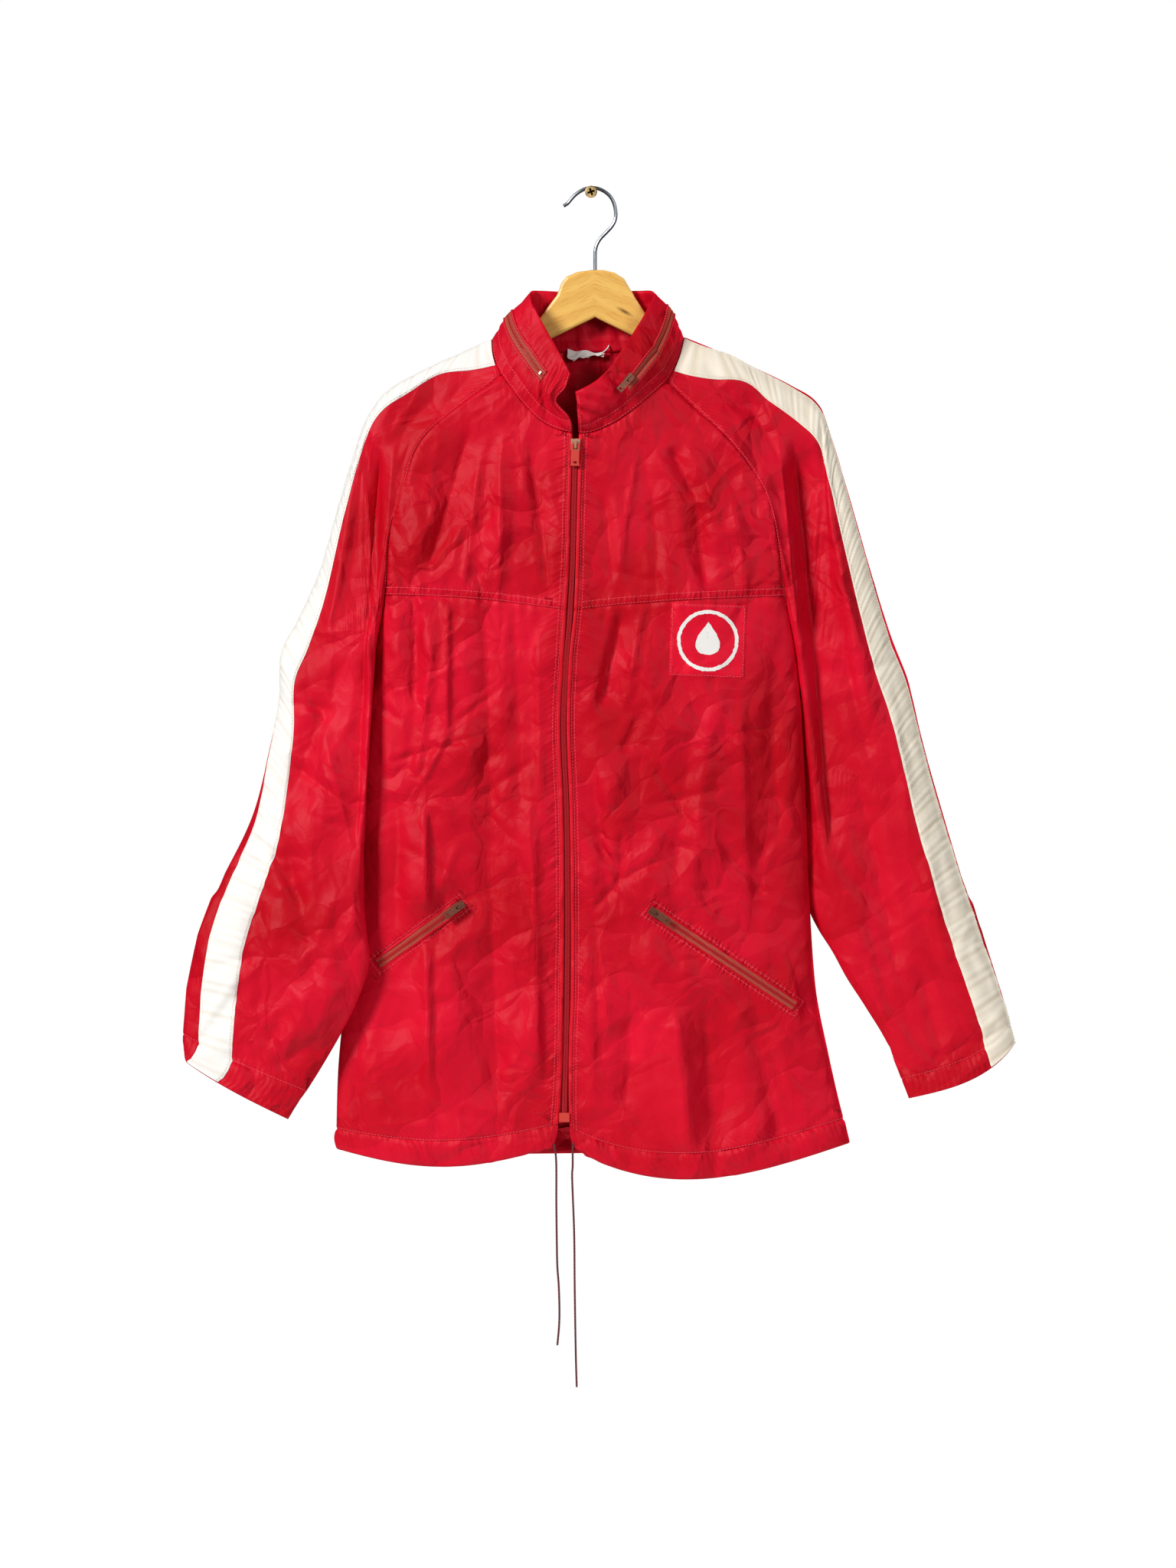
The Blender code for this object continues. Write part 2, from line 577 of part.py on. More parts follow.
def collar_grid():
    """Rows from the neck seam to the top edge, and the outward direction at each point."""
    places = np.linspace(0, 1, COLLAR_STEPS + 1)
    seam = at_shares(neck_seam(), places)
    knots = np.array(COLLAR_TOP)
    at = np.interp(places, knots[:, 0], np.arange(len(knots)))
    top = np.array([along_table(knots[:, [1, 3, 2]], t) for t in at])
    up = (top - seam) / np.linalg.norm(top - seam, axis=1, keepdims=True)
    seam = seam + up * COLLAR_LIFT
    rises = np.linspace(0, 1, 6)
    grid = seam[None] + (top - seam)[None] * rises[:, None, None]
    out = np.cross(np.gradient(grid, axis=0), np.gradient(grid, axis=1))
    out /= np.linalg.norm(out, axis=-1, keepdims=True)
    grid += out * (COLLAR_OUT * np.sin(math.pi * rises))[:, None, None]
    return grid, out


def build_collar():
    """A stand collar, thick because the hood is rolled up inside it."""
    grid, out = collar_grid()
    rows, across = grid.shape[:2]
    flip = faces_inwards(grid, out[rows // 2, across // 2])
    obj = cloth_piece("collar", grid, "nylon_red", thick=COLLAR_EDGE + COLLAR_BELLY, flip=flip)
    group = obj.vertex_groups.new(name="belly")
    for index in range(rows * across):
        rise = index // across / (rows - 1)
        end = min(index % across, across - 1 - index % across)
        group.add([index], math.sin(math.pi * rise) * min(1, end / 2), "REPLACE")
    wall = obj.modifiers["wall"]
    wall.vertex_group = "belly"
    wall.thickness_vertex_group = COLLAR_EDGE / (COLLAR_EDGE + COLLAR_BELLY)


# --- trims ---------------------------------------------------------------------------------------
def strip(name, middle, across, width, material, thick):
    """A flat strip along a line of points, across being the direction of its width at each."""
    grid = np.stack([middle - across * width / 2, middle + across * width / 2])
    obj = add_object(name, grid_mesh(name, grid), material)
    wall = obj.modifiers.new("wall", "SOLIDIFY")
    wall.thickness = thick * MM
    wall.offset = 0
    return obj


def build_main_zip():
    stations = np.linspace(CASING, NECK, 45)
    right = np.array([front_section("right", t, 1)[0] for t in stations])
    left = np.array([front_section("left", t, 1)[0] for t in stations])
    centre = (right + left) / 2
    inside = (centre[:, 2] > ZIP_BOTTOM) & (centre[:, 2] < ZIP_TOP)
    centre = centre[inside]
    sideways = np.array([1.0, 0, 0])
    chain_y = ZIP_CHAIN[1] / 2 - ZIP_PROUD
    strip("zip_chain", centre + [0, chain_y, 0], sideways, ZIP_CHAIN[0], "zip_tape_rust", ZIP_CHAIN[1])
    tape_y = CLOTH + SEAM_GAP + ZIP_TAPE_GAP + ZIP_TAPE[1] / 2
    for side, sign in (("right", -1), ("left", 1)):
        middle = centre + [sign * (ZIP_TAPE[0] / 2 + SEAM_GAP / 2), tape_y, 0]
        strip(f"zip_tape_{side}", middle, sideways, ZIP_TAPE[0], "zip_tape_rust", ZIP_TAPE[1])
    return centre


def build_pocket_zips(panels):
    for side, (upper, lower) in POCKET_ZIP.items():
        upper, lower = np.array(upper, float), np.array(lower, float)
        run = (lower - upper) / np.linalg.norm(lower - upper)
        across = np.array([-run[1], run[0]])
        share = np.linspace(0, 1, 13)[:, None]
        line = upper + (lower - upper) * share
        rows = [laid_points(panels[side, "lower"], line + across * off, LAID_GAP)
                for off in (-POCKET_TAPE[0] / 2, 0, POCKET_TAPE[0] / 2)]
        cloth_piece(f"pocket_zip_{side}", rows, "zip_tape_rust", thick=POCKET_TAPE[1], outward=True)
        top, after = rows[1][0], rows[1][1]
        out = np.cross(after - top, rows[2][0] - rows[0][0])
        out *= -np.sign(out[1]) / np.linalg.norm(out)
        spot = top + out * (POCKET_TAPE[1] + SLIDER_LIFT)
        build_slider(f"pocket_zip_{side}", spot, after - top, out, SLIDER_SIZE["pocket"])


def build_patch(panels):
    (x0, z0), (x1, z1) = PATCH
    rows = [laid_points(panels["left", "lower"], [(x, z) for x in np.linspace(x0, x1, 6)], LAID_GAP)
            for z in np.linspace(z0, z1, 6)]
    cloth_piece("chest_patch", rows, "nylon_red", thick=PATCH_THICK, outward=True)


def ring_strip(rings, station, forward, offsets):
    """Points of a ring at these offsets, in millimetres, from a place forward of the over-arm line."""
    ring = along_table(rings, station)
    line = np.concatenate([ring[-HALF_RING:], ring[:HALF_RING + 1]])
    away = np.concatenate([[0], np.cumsum(np.linalg.norm(np.diff(line, axis=0), axis=1))])
    at = away[HALF_RING] + forward + np.asarray(offsets)
    return np.stack([np.interp(at, away, line[:, k]) for k in range(3)], axis=1)


def lay_on_sleeve(tree, grid, side, lift):
    """Each point of the grid moved to the sleeve's outer face, then out by lift."""
    laid = np.array(grid)
    for index in np.ndindex(laid.shape[:2]):
        spot, normal, _, _ = tree.find_nearest(Vector(laid[index]) * MM)
        outwards = np.array(normal) * (-1 if side == "right" else 1)
        laid[index] = np.array(spot / MM) + outwards * lift
    return laid


def ring_tree(rings):
    """The sleeve's outer face from end to end, to lay trims on."""
    rows = np.concatenate([rings[:16], [along_table(rings, CUFF_START)], rings[16:]])
    count = rows.shape[1]
    faces = [(r * count + c, r * count + (c + 1) % count, (r + 1) * count + (c + 1) % count, (r + 1) * count + c)
             for r in range(len(rows) - 1) for c in range(count)]
    return BVHTree.FromPolygons([Vector(p) * MM for p in rows.reshape(-1, 3)], faces)


def build_arm_tapes():
    """Each tape is the part of a wall just outside the sleeve that lies within a band."""
    stations = np.concatenate([np.linspace(ARM_TAPE_FROM, 5, 14), np.linspace(5.6, ARM_TAPE_TO, 17)])
    offsets = np.linspace(-ARM_TAPE[0] / 2, ARM_TAPE[0] / 2, 5)
    for side in ("right", "left"):
        rings = sleeve_rings(side)
        flip = side == "right"
        body = np.concatenate([sleeve_rows(side), cuff_rows(side)[1:]])
        tape = add_object(f"arm_tape_{side}", grid_mesh(f"arm_tape_{side}", body, True, flip), "tape_white")
        wall = tape.modifiers.new("wall", "SOLIDIFY")
        wall.thickness = ARM_TAPE[1] * MM
        wall.offset = 1 + 2 * LAID_GAP / ARM_TAPE[1]
        knots = np.array(ARM_TAPE_AT[side])
        rows = [ring_strip(rings, t, np.interp(t, knots[:, 0], knots[:, 1]), offsets) for t in stations]
        grid = lay_on_sleeve(ring_tree(rings), rows, side, -ARM_BAND / 3)
        band = cloth_piece(f"arm_band_{side}", grid, None, thick=ARM_BAND, outward=True, flip=flip)
        JACKET.objects.unlink(band)
        CUTTERS.objects.link(band)
        combine(tape, "INTERSECT", band)


def build_cuff_zips():
    """A short zip up each sleeve from the cuff, behind the tape."""
    offsets = np.linspace(-CUFF_ZIP[0] / 2, CUFF_ZIP[0] / 2, 3)
    stations = np.linspace(CUFF_ZIP_FROM, CUFF_ZIP_TO, 8)
    for side in ("right", "left"):
        rings = sleeve_rings(side)
        rows = [ring_strip(rings, t, CUFF_ZIP_BEHIND[side], offsets) for t in stations]
        tree = ring_tree(rings)
        grid = lay_on_sleeve(tree, rows, side, LAID_GAP)
        cloth_piece(f"cuff_zip_{side}", grid, "zip_tape_rust", thick=CUFF_ZIP[1], outward=True,
                    flip=side == "right")
        top, after = grid[-2, 1], grid[-1, 1]
        across = grid[-2, 2] - grid[-2, 0]
        out = np.cross(across, after - top) * (-1 if side == "right" else 1)
        out /= np.linalg.norm(out)
        spot = top + out * (CUFF_ZIP[1] + SLIDER_LIFT)
        build_slider(f"cuff_zip_{side}", spot, after - top, out, SLIDER_SIZE["cuff"])


def build_collar_zip():
    """The hood's zip, along the outside of the collar, with its slider at the left end."""
    grid, out = collar_grid()
    low = COLLAR_ZIP_AT * (grid.shape[0] - 1)
    base, part = int(low), low - int(low)
    keep = slice(1, grid.shape[1] - 2)
    middle = (grid[base] * (1 - part) + grid[base + 1] * part)[keep]
    normal = (out[base] * (1 - part) + out[base + 1] * part)[keep]
    rising = (grid[base + 1] - grid[base])[keep]
    rising /= np.linalg.norm(rising, axis=-1, keepdims=True)
    half = COLLAR_ZIP[0] / 2
    rows = np.array([middle + normal * COLLAR_ZIP_LIFT + rising * off for off in (-half, half)])
    flip = faces_inwards(rows, normal[len(normal) // 2])
    cloth_piece("collar_zip", rows, "zip_tape_rust", thick=COLLAR_ZIP[1], outward=True, flip=flip)
    spot = middle[-2] + normal[-2] * (COLLAR_ZIP_LIFT + COLLAR_ZIP[1] + SLIDER_LIFT)
    build_slider("collar_zip", spot, middle[-1] - middle[-2], normal[-2], SLIDER_SIZE["collar"])


def build_label():
    """A plain label sewn in at the back neck seam, hanging down inside the back."""
    width, height, thick = LABEL
    x, y, z = LABEL_AT
    across = np.linspace(x, x + width, 5)
    rows = [np.stack([across, np.full(5, y), np.full(5, level)], axis=1) for level in (z - height, z)]
    cloth_piece("neck_label", rows, "label_white", thick=thick, outward=True)


def block(name, size, material, collection=JACKET):
    """A box at the origin, sized in millimetres along X, Y and Z."""
    mesh = bmesh.new()
    bmesh.ops.create_cube(mesh, size=1)
    bmesh.ops.scale(mesh, verts=mesh.verts, vec=Vector(size) * MM)
    data = bpy.data.meshes.new(name)
    mesh.to_mesh(data)
    mesh.free()
    return add_object(name, data, material, collection)


def as_cutter(obj):
    obj.hide_render = True
    obj.display_type = "WIRE"


def combine(body, operation, other):
    """Cuts the other object out of the body, or joins it on."""
    step = body.modifiers.new(other.name, "BOOLEAN")
    step.operation = operation
    step.object = other
    as_cutter(other)


def build_zip_box(zip_line):
    """The retainer box at the bottom of the main zip."""
    x, y, z = zip_line[0]
    box = block("zip_box", (ZIP_BOX[0], ZIP_BOX[2], ZIP_BOX[1]), "zip_metal")
    box.location = Vector((x, y - ZIP_BOX_PROUD, z - ZIP_BOX[1] / 2 - SEAM_GAP)) * MM


# --- hanger, hook and screw ----------------------------------------------------------------------
def plate(name, outline, thick, material, collection=JACKET):
    """A flat outline of x, z points in millimetres, extruded to a thickness round the plane y = 0."""
    mesh = bmesh.new()
    corners = [mesh.verts.new(Vector((x, -thick / 2, z)) * MM) for x, z in outline]
    face = mesh.faces.new(corners)
    grown = bmesh.ops.extrude_face_region(mesh, geom=[face])["geom"]
    moved = [v for v in grown if isinstance(v, bmesh.types.BMVert)]
    bmesh.ops.translate(mesh, verts=moved, vec=Vector((0, thick * MM, 0)))
    bmesh.ops.recalc_face_normals(mesh, faces=mesh.faces)
    data = bpy.data.meshes.new(name)
    mesh.to_mesh(data)
    mesh.free()
    return add_object(name, data, material, collection)


def build_hanger():
    right, left = HANGER_ARMS["right"], HANGER_ARMS["left"]
    outline = list(HANGER_TOP) + list(left) + [HANGER_CROTCH] + list(reversed(right))
    body = plate("hanger_body", outline, HANGER_THICK, "maple_wood")
    body.location.y = HANGER_Y * MM
    edge = body.modifiers.new("rounded", "BEVEL")
    edge.width = 2.5 * MM
    edge.segments = 2
    edge.limit_method = "ANGLE"
    edge.angle_limit = math.radians(60)
    x, radius, length = HOOK_HOLE
    mesh = bmesh.new()
    bmesh.ops.create_cone(mesh, cap_ends=True, segments=24, radius1=radius * MM, radius2=radius * MM,
                          depth=length * MM)
    data = bpy.data.meshes.new("hook_hole")
    mesh.to_mesh(data)
    mesh.free()
    hole = add_object("hook_hole", data, None, CUTTERS)
    hole.location = Vector((x, HANGER_Y, HOOK_HOLE_Z)) * MM
    combine(body, "DIFFERENCE", hole)


def tube(name, points, radius, material, resolution=2):
    """A round wire or cord through points, each x, y, z in millimetres."""
    curve = bpy.data.curves.new(name, "CURVE")
    curve.dimensions = "3D"
    curve.bevel_depth = radius * MM
    curve.bevel_resolution = resolution
    curve.use_fill_caps = True
    line = curve.splines.new("POLY")
    line.points.add(len(points) - 1)
    for spot, place in zip(line.points, points):
        spot.co = (*(np.asarray(place) * MM), 1)
    return add_object(name, curve, material)


def smooth_route(points, count):
    """count points on a smooth curve through the route's points."""
    points = np.asarray(points, float)
    return [along_table(points, s) for s in np.linspace(0, len(points) - 1, count)]


def build_hook():
    route = smooth_route([(x, HANGER_Y, z) for x, z in HOOK_ROUTE], 44)
    tube("hanger_hook", route, HOOK_WIRE, "chrome_wire")


def build_screw():
    """A wood screw: its shank stands out of the wall and its head keeps the hook on."""
    data = bpy.data.meshes.new("wall_screw")
    data.from_pydata([Vector((radius, 0, out)) * MM for radius, out in SCREW_PROFILE],
                     [(n, n + 1) for n in range(len(SCREW_PROFILE) - 1)], [])
    screw = add_object("wall_screw", data, "brass_screw")
    screw.rotation_euler.x = math.radians(90)
    turn = screw.modifiers.new("turned", "SCREW")
    turn.steps = turn.render_steps = 24
    turn.use_merge_vertices = True
    turn.merge_threshold = 0.0001
    for number, angle in enumerate((0, 90)):
        slot = block(f"cross_slot_{number}", CROSS_SLOT, None, CUTTERS)
        slot.parent = screw
        slot.location.z = SCREW_OUT * MM
        slot.rotation_euler.z = math.radians(CROSS_TURN + angle)
        combine(screw, "DIFFERENCE", slot)


# --- zip sliders and their pulls -----------------------------------------------------------------
def frame_at(spot, along, normal):
    """A matrix with X across, Y along the pull and Z out of the cloth, never facing downwards."""
    along, normal = Vector(along), Vector(normal)
    if normal.z < 0:
        normal = Vector((normal.x, normal.y, 0)).normalized()
        along = along - normal * along.dot(normal)
    along = along.normalized()
    normal = (normal - along * normal.dot(along)).normalized()
    turn = Matrix((along.cross(normal), along, normal)).transposed().to_4x4()
    return Matrix.Translation(Vector(spot) * MM) @ turn


def build_slider(name, spot, along, normal, size):
    """A slider with a bail, and a pull whose origin is on the bar that turns under it."""
    wide, long, thick = (length * size for length in SLIDER_BODY)
    body = block(f"{name}_slider", (wide, long, thick), "zip_metal")
    body.matrix_world = frame_at(spot, along, normal) @ Matrix.Translation((0, 0, thick / 2 * MM))

    reach, leg, foot = BAIL_REACH, BAIL_LEG, -BAIL_SUNK
    arch = [(-reach, foot), (-reach, BAIL_HIGH), (reach, BAIL_HIGH), (reach, foot),
            (reach - leg, foot), (reach - leg, BAIL_HIGH - BAIL_BAR),
            (leg - reach, BAIL_HIGH - BAIL_BAR), (leg - reach, foot)]
    outline = [(along * size, high * size) for along, high in arch]
    bail = plate(f"{name}_bail", outline, BAIL_WIDE * size, None, CUTTERS)
    bail.parent = body
    bail.location.z = thick / 2 * MM
    bail.rotation_euler.z = math.radians(90)
    combine(body, "UNION", bail)

    plate_wide, plate_long, plate_thick = (length * size for length in PULL_PLATE)
    data = bpy.data.meshes.new(f"{name}_pull")
    flat = bmesh.new()
    bmesh.ops.create_cube(flat, size=1)
    bmesh.ops.scale(flat, verts=flat.verts, vec=Vector((plate_wide, plate_long, plate_thick)) * MM)
    bmesh.ops.translate(flat, verts=flat.verts, vec=(0, (plate_long / 2 - PULL_BAR * size) * MM, 0))
    flat.to_mesh(data)
    flat.free()
    pull = add_object(f"{name}_pull", data, "zip_metal")
    pull.parent = body
    pull.location.z = (thick / 2 + PIN_HIGH * size) * MM
    middles = {"window": PULL_BAR + PULL_WINDOW[1] / 2, "hole": PULL_PLATE[1] - PULL_END - PULL_HOLE[1] / 2}
    for opening, (across, length) in (("window", PULL_WINDOW), ("hole", PULL_HOLE)):
        cutter = block(f"{name}_{opening}", (across * size, length * size, 5 * plate_thick), None, CUTTERS)
        cutter.parent = pull
        cutter.location.y = middles[opening] * size * MM
        combine(pull, "DIFFERENCE", cutter)


# --- assembly ------------------------------------------------------------------------------------
def build_jacket():
    panels = build_fronts()
    build_back()
    build_hem()
    build_sleeves()
    build_collar()
    bpy.context.view_layer.update()
    zip_line = build_main_zip()
    build_zip_box(zip_line)
    build_pocket_zips(panels)
    build_patch(panels)
    build_arm_tapes()
    build_cuff_zips()
    build_collar_zip()
    build_label()
    for side, route in CORD_ROUTES.items():
        tube(f"drawcord_{side}", smooth_route(route, CORD_POINTS), CORD_RADIUS, "cord_maroon", 1)
    top, lower = zip_line[-1], zip_line[-3]
    run = (lower - top) / np.linalg.norm(lower - top)
    spot = top + run * SLIDER_BODY[1] / 2 - [0, ZIP_PROUD + SEAM_GAP, 0]
    build_slider("main_zip", spot, run, (0, -1, 0), SLIDER_SIZE["main"])


build_jacket()
build_hanger()
build_hook()
build_screw()
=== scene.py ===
"""A red nylon rain jacket, zipped shut, on a wooden hanger that hangs on a wall screw.

The file follows the jacket as it is sewn: camera and light, drawcord ends, fronts, back, hem casing,
sleeves with their tapes, collar, zips, chest patch, label, stitches, then hanger, hook and screw.
Sizes are in millimetres and are read through MM. Right and left are the wearer's, so the right is
at -X. The front faces -Y.
"""
import math

import bpy
import bmesh
import numpy as np
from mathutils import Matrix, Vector
from mathutils.bvhtree import BVHTree


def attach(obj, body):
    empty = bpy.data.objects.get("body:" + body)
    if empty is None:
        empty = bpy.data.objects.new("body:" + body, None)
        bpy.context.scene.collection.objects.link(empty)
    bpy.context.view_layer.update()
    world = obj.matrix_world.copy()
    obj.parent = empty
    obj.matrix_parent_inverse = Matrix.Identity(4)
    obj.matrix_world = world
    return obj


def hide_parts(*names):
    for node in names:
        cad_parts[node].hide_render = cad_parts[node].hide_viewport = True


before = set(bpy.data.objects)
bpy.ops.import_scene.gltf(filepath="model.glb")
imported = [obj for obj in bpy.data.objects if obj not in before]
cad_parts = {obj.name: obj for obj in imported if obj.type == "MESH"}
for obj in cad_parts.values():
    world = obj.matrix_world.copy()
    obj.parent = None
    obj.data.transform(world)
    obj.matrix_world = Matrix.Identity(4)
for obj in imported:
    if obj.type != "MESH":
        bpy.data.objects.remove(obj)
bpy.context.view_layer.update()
JACKET = "jacket"        # the body that everything but the zip pulls is in
MM = 0.001

# ==== Camera, lamps and floor ====================================================================
# The jacket is seen square on, from the height of its chest, against plain white. The main lamp
# stands well to the left and above and a weaker one to the right, so that steep folds stay dark. A
# third lights the back.
CAMERA_X, CAMERA_Z = -3, -581          # where the camera looks
CAMERA_FROM = 10000                    # its distance from the front of the jacket
FRAME_TALL, FRONT_Y = 1536, -45        # height of the view there, and how far out that is
SENSOR_TALL = 36                       # of the camera's own picture
LAMPS_AIM = (0, -0.05, -0.55)          # the lamps are placed in metres, as this is
SKY_LIGHT = 0.09                       # how strongly the white surround lights the jacket
FLOOR_Y, FLOOR_Z, FLOOR_SIZE = -250, -1460, (2600, 1500)


def linear(hexcode):
    """A colour written as sRGB hex, as linear red, green and blue."""
    parts = [int(hexcode[k:k + 2], 16) / 255 for k in (0, 2, 4)]
    return tuple(p / 12.92 if p <= 0.04045 else ((p + 0.055) / 1.055) ** 2.4 for p in parts)


def add_node(tree, kind, settings=None, **inputs):
    """A node with its settings. An input is a value, or a socket to link, and __ stands for a space."""
    node = tree.nodes.new(kind)
    for name, value in (settings or {}).items():
        setattr(node, name, value)
    for name, value in inputs.items():
        key = int(name[1:]) if name[0] == "i" and name[1:].isdigit() else name.replace("__", " ")
        socket = node.inputs[key]
        if isinstance(value, bpy.types.NodeSocket):
            tree.links.new(value, socket)
        else:
            socket.default_value = value
    return node


def new_material(name, hexcode, roughness, metallic=0.0, ior=1.5):
    """A Principled material, its tree and its shader."""
    material = bpy.data.materials.new(name)
    material.use_nodes = True
    shader = material.node_tree.nodes["Principled BSDF"]
    shader.inputs["Base Color"].default_value = (*linear(hexcode), 1)
    shader.inputs["Roughness"].default_value = roughness
    shader.inputs["Metallic"].default_value = metallic
    shader.inputs["IOR"].default_value = ior
    return material, material.node_tree, shader


def soft_lamp(name, place, size, power, mirrored=True):
    """A soft box aimed at the middle of the jacket. Its sides are in metres, its power in watts."""
    lamp = bpy.data.objects.new(name, bpy.data.lights.new(name, "AREA"))
    lamp.visible_glossy = mirrored
    lamp.data.shape = "RECTANGLE"
    lamp.data.size, lamp.data.size_y = size
    lamp.data.energy = power
    lamp.location = place
    lamp.rotation_euler = (Vector(LAMPS_AIM) - Vector(place)).to_track_quat("-Z", "Y").to_euler()
    bpy.context.scene.collection.objects.link(lamp)


camera = bpy.data.objects.new("camera", bpy.data.cameras.new("camera"))
camera.location = (CAMERA_X * MM, (FRONT_Y - CAMERA_FROM) * MM, CAMERA_Z * MM)
camera.rotation_euler = (math.pi / 2, 0, 0)
camera.data.sensor_width = SENSOR_TALL
camera.data.lens = SENSOR_TALL * CAMERA_FROM / FRAME_TALL
bpy.context.scene.collection.objects.link(camera)
bpy.context.scene.camera = camera
bpy.context.scene.view_settings.view_transform = "Standard"

soft_lamp("key_lamp", (-3.9, -3.7, 2.3), (1.6, 1.6), 348)
soft_lamp("side_lamp", (2.9, -4.3, 1.3), (2.0, 2.0), 88)
soft_lamp("back_lamp", (2.6, 2.2, 1.4), (1.4, 1.4), 170, mirrored=False)

world = bpy.data.worlds.new("studio")
bpy.context.scene.world = world
world.use_nodes = True
sky = world.node_tree
seen = add_node(sky, "ShaderNodeLightPath").outputs["Is Camera Ray"]
strength = add_node(sky, "ShaderNodeMapRange", To__Min=SKY_LIGHT, To__Max=1.0, Value=seen).outputs["Result"]
sky.nodes["Background"].inputs["Color"].default_value = (1, 1, 1, 1)
sky.links.new(strength, sky.nodes["Background"].inputs["Strength"])

floor_mesh = bmesh.new()
bmesh.ops.create_grid(floor_mesh, x_segments=1, y_segments=1, size=0.5)
bmesh.ops.scale(floor_mesh, verts=floor_mesh.verts, vec=(FLOOR_SIZE[0] * MM, FLOOR_SIZE[1] * MM, 1))
floor_data = bpy.data.meshes.new("floor")
floor_mesh.to_mesh(floor_data)
floor_mesh.free()
floor = bpy.data.objects.new("floor", floor_data)
floor.location = (0, FLOOR_Y * MM, FLOOR_Z * MM)
floor_data.materials.append(new_material("pale_floor_paint", "F2F2F0", 0.6)[0])
bpy.context.scene.collection.objects.link(floor)

# ==== Drawcord ends ==============================================================================
# A thin braided polyester cord runs in the hem's casing. Its two ends come out beside the zip and
# hang straight down with slight waves. They are cut and melted, with no toggle or knot.
CORD_WIDE = 2.0
CORD_GRAIN = 1.6                       # size of the braid's texture, with turns about twice as long
CORD_COLOUR, CORD_GAP_SHADE = "8A3A40", "4A1C20"
CORD_POINTS = 30
WAVE_SCALE = 1000 / 6.28               # a wave texture of this scale has bands about 2 mm apart
CORD_ROUTES = {
    # x, y, z: the same routes as the solids
    "right": [(-36.5, -57.5, -933), (-35, -58, -940), (-34, -59, -955), (-34, -59, -990),
              (-33.5, -59, -1030), (-33, -59, -1053), (-31.5, -59, -1074), (-31, -59, -1105),
              (-33, -59, -1130)],
    "left": [(-17.6, -57.5, -932), (-18, -58, -940), (-18, -59, -955), (-18.5, -59, -968),
             (-16.5, -59, -1021), (-16, -59, -1074), (-15, -59, -1137), (-14, -59, -1171)],
}


def smooth_between(before, here, there, after, part):
    """A place on a smooth curve through four, this part of the way from the second to the third."""
    return 0.5 * (2 * here + (there - before) * part
                  + (2 * before - 5 * here + 4 * there - after) * part ** 2
                  + (3 * here - before - 3 * there + after) * part ** 3)


def along_table(rows, station):
    """A row between a table's rows, on a smooth curve through them."""
    rows = np.asarray(rows, float)
    station = min(max(station, 0), len(rows) - 1)
    low = min(int(station), len(rows) - 2)
    return smooth_between(rows[max(low - 1, 0)], rows[low], rows[low + 1],
                          rows[min(low + 2, len(rows) - 1)], station - low)


def braided_cord():
    """Polyester braid: thin strands wound opposite ways, matte, with painted shade in the gaps between them.
    """
    material, tree, shader = new_material("braided_polyester", CORD_COLOUR, 0.8)
    place = add_node(tree, "ShaderNodeTexCoord").outputs["Object"]
    grain = add_node(tree, "ShaderNodeTexNoise", Vector=place, Scale=1000 / CORD_GRAIN, Detail=1.0)
    turns = add_node(tree, "ShaderNodeTexWave", {"bands_direction": "Z"}, Vector=place,
                     Scale=WAVE_SCALE / CORD_GRAIN, Distortion=3.0, Detail=1.0)
    both = add_node(tree, "ShaderNodeMath", {"operation": "MULTIPLY"},
                    i0=grain.outputs["Fac"], i1=turns.outputs["Fac"])
    # Where the braid is low, between strands, it is painted darker: painted shade.
    colour = add_node(tree, "ShaderNodeMix", {"data_type": "RGBA"}, i0=both.outputs[0],
                      i6=(*linear(CORD_GAP_SHADE), 1), i7=(*linear(CORD_COLOUR), 1))
    bump = add_node(tree, "ShaderNodeBump", Height=both.outputs[0], Distance=0.3 * MM)
    tree.links.new(colour.outputs[2], shader.inputs["Base Color"])
    tree.links.new(bump.outputs["Normal"], shader.inputs["Normal"])
    return material


def show(name, data, body, slot, *nodes):
    """A finished piece: its object, the body it rides on, its slot, which is not used, and the nodes it
    stands for.
    """
    piece = bpy.data.objects.new(name, data)
    bpy.context.scene.collection.objects.link(piece)
    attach(piece, body)
    if nodes:
        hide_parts(*nodes)
    return piece


def round_cord(name, route, count, wide, roundness, material):
    """A round cord along a route, and the points that it follows."""
    points = [along_table(route, s) for s in np.linspace(0, len(route) - 1, count)]
    curve = bpy.data.curves.new(name, "CURVE")
    curve.dimensions = "3D"
    curve.bevel_depth = wide / 2 * MM
    curve.bevel_resolution = roundness
    curve.use_fill_caps = True
    line = curve.splines.new("POLY")
    line.points.add(len(points) - 1)
    for spot, place in zip(line.points, points):
        spot.co = (*(place * MM), 1)
    curve.materials.append(material)
    return curve, points


cord_material = braided_cord()
for side, route in CORD_ROUTES.items():
    curve, points = round_cord(f"cord_{side}", route, CORD_POINTS, CORD_WIDE, 3, cord_material)
    cord = show(f"cord_{side}", curve, JACKET, "cord_maroon", f"drawcord_{side}")
    length = sum(np.linalg.norm(b - a) for a, b in zip(points, points[1:])) * MM

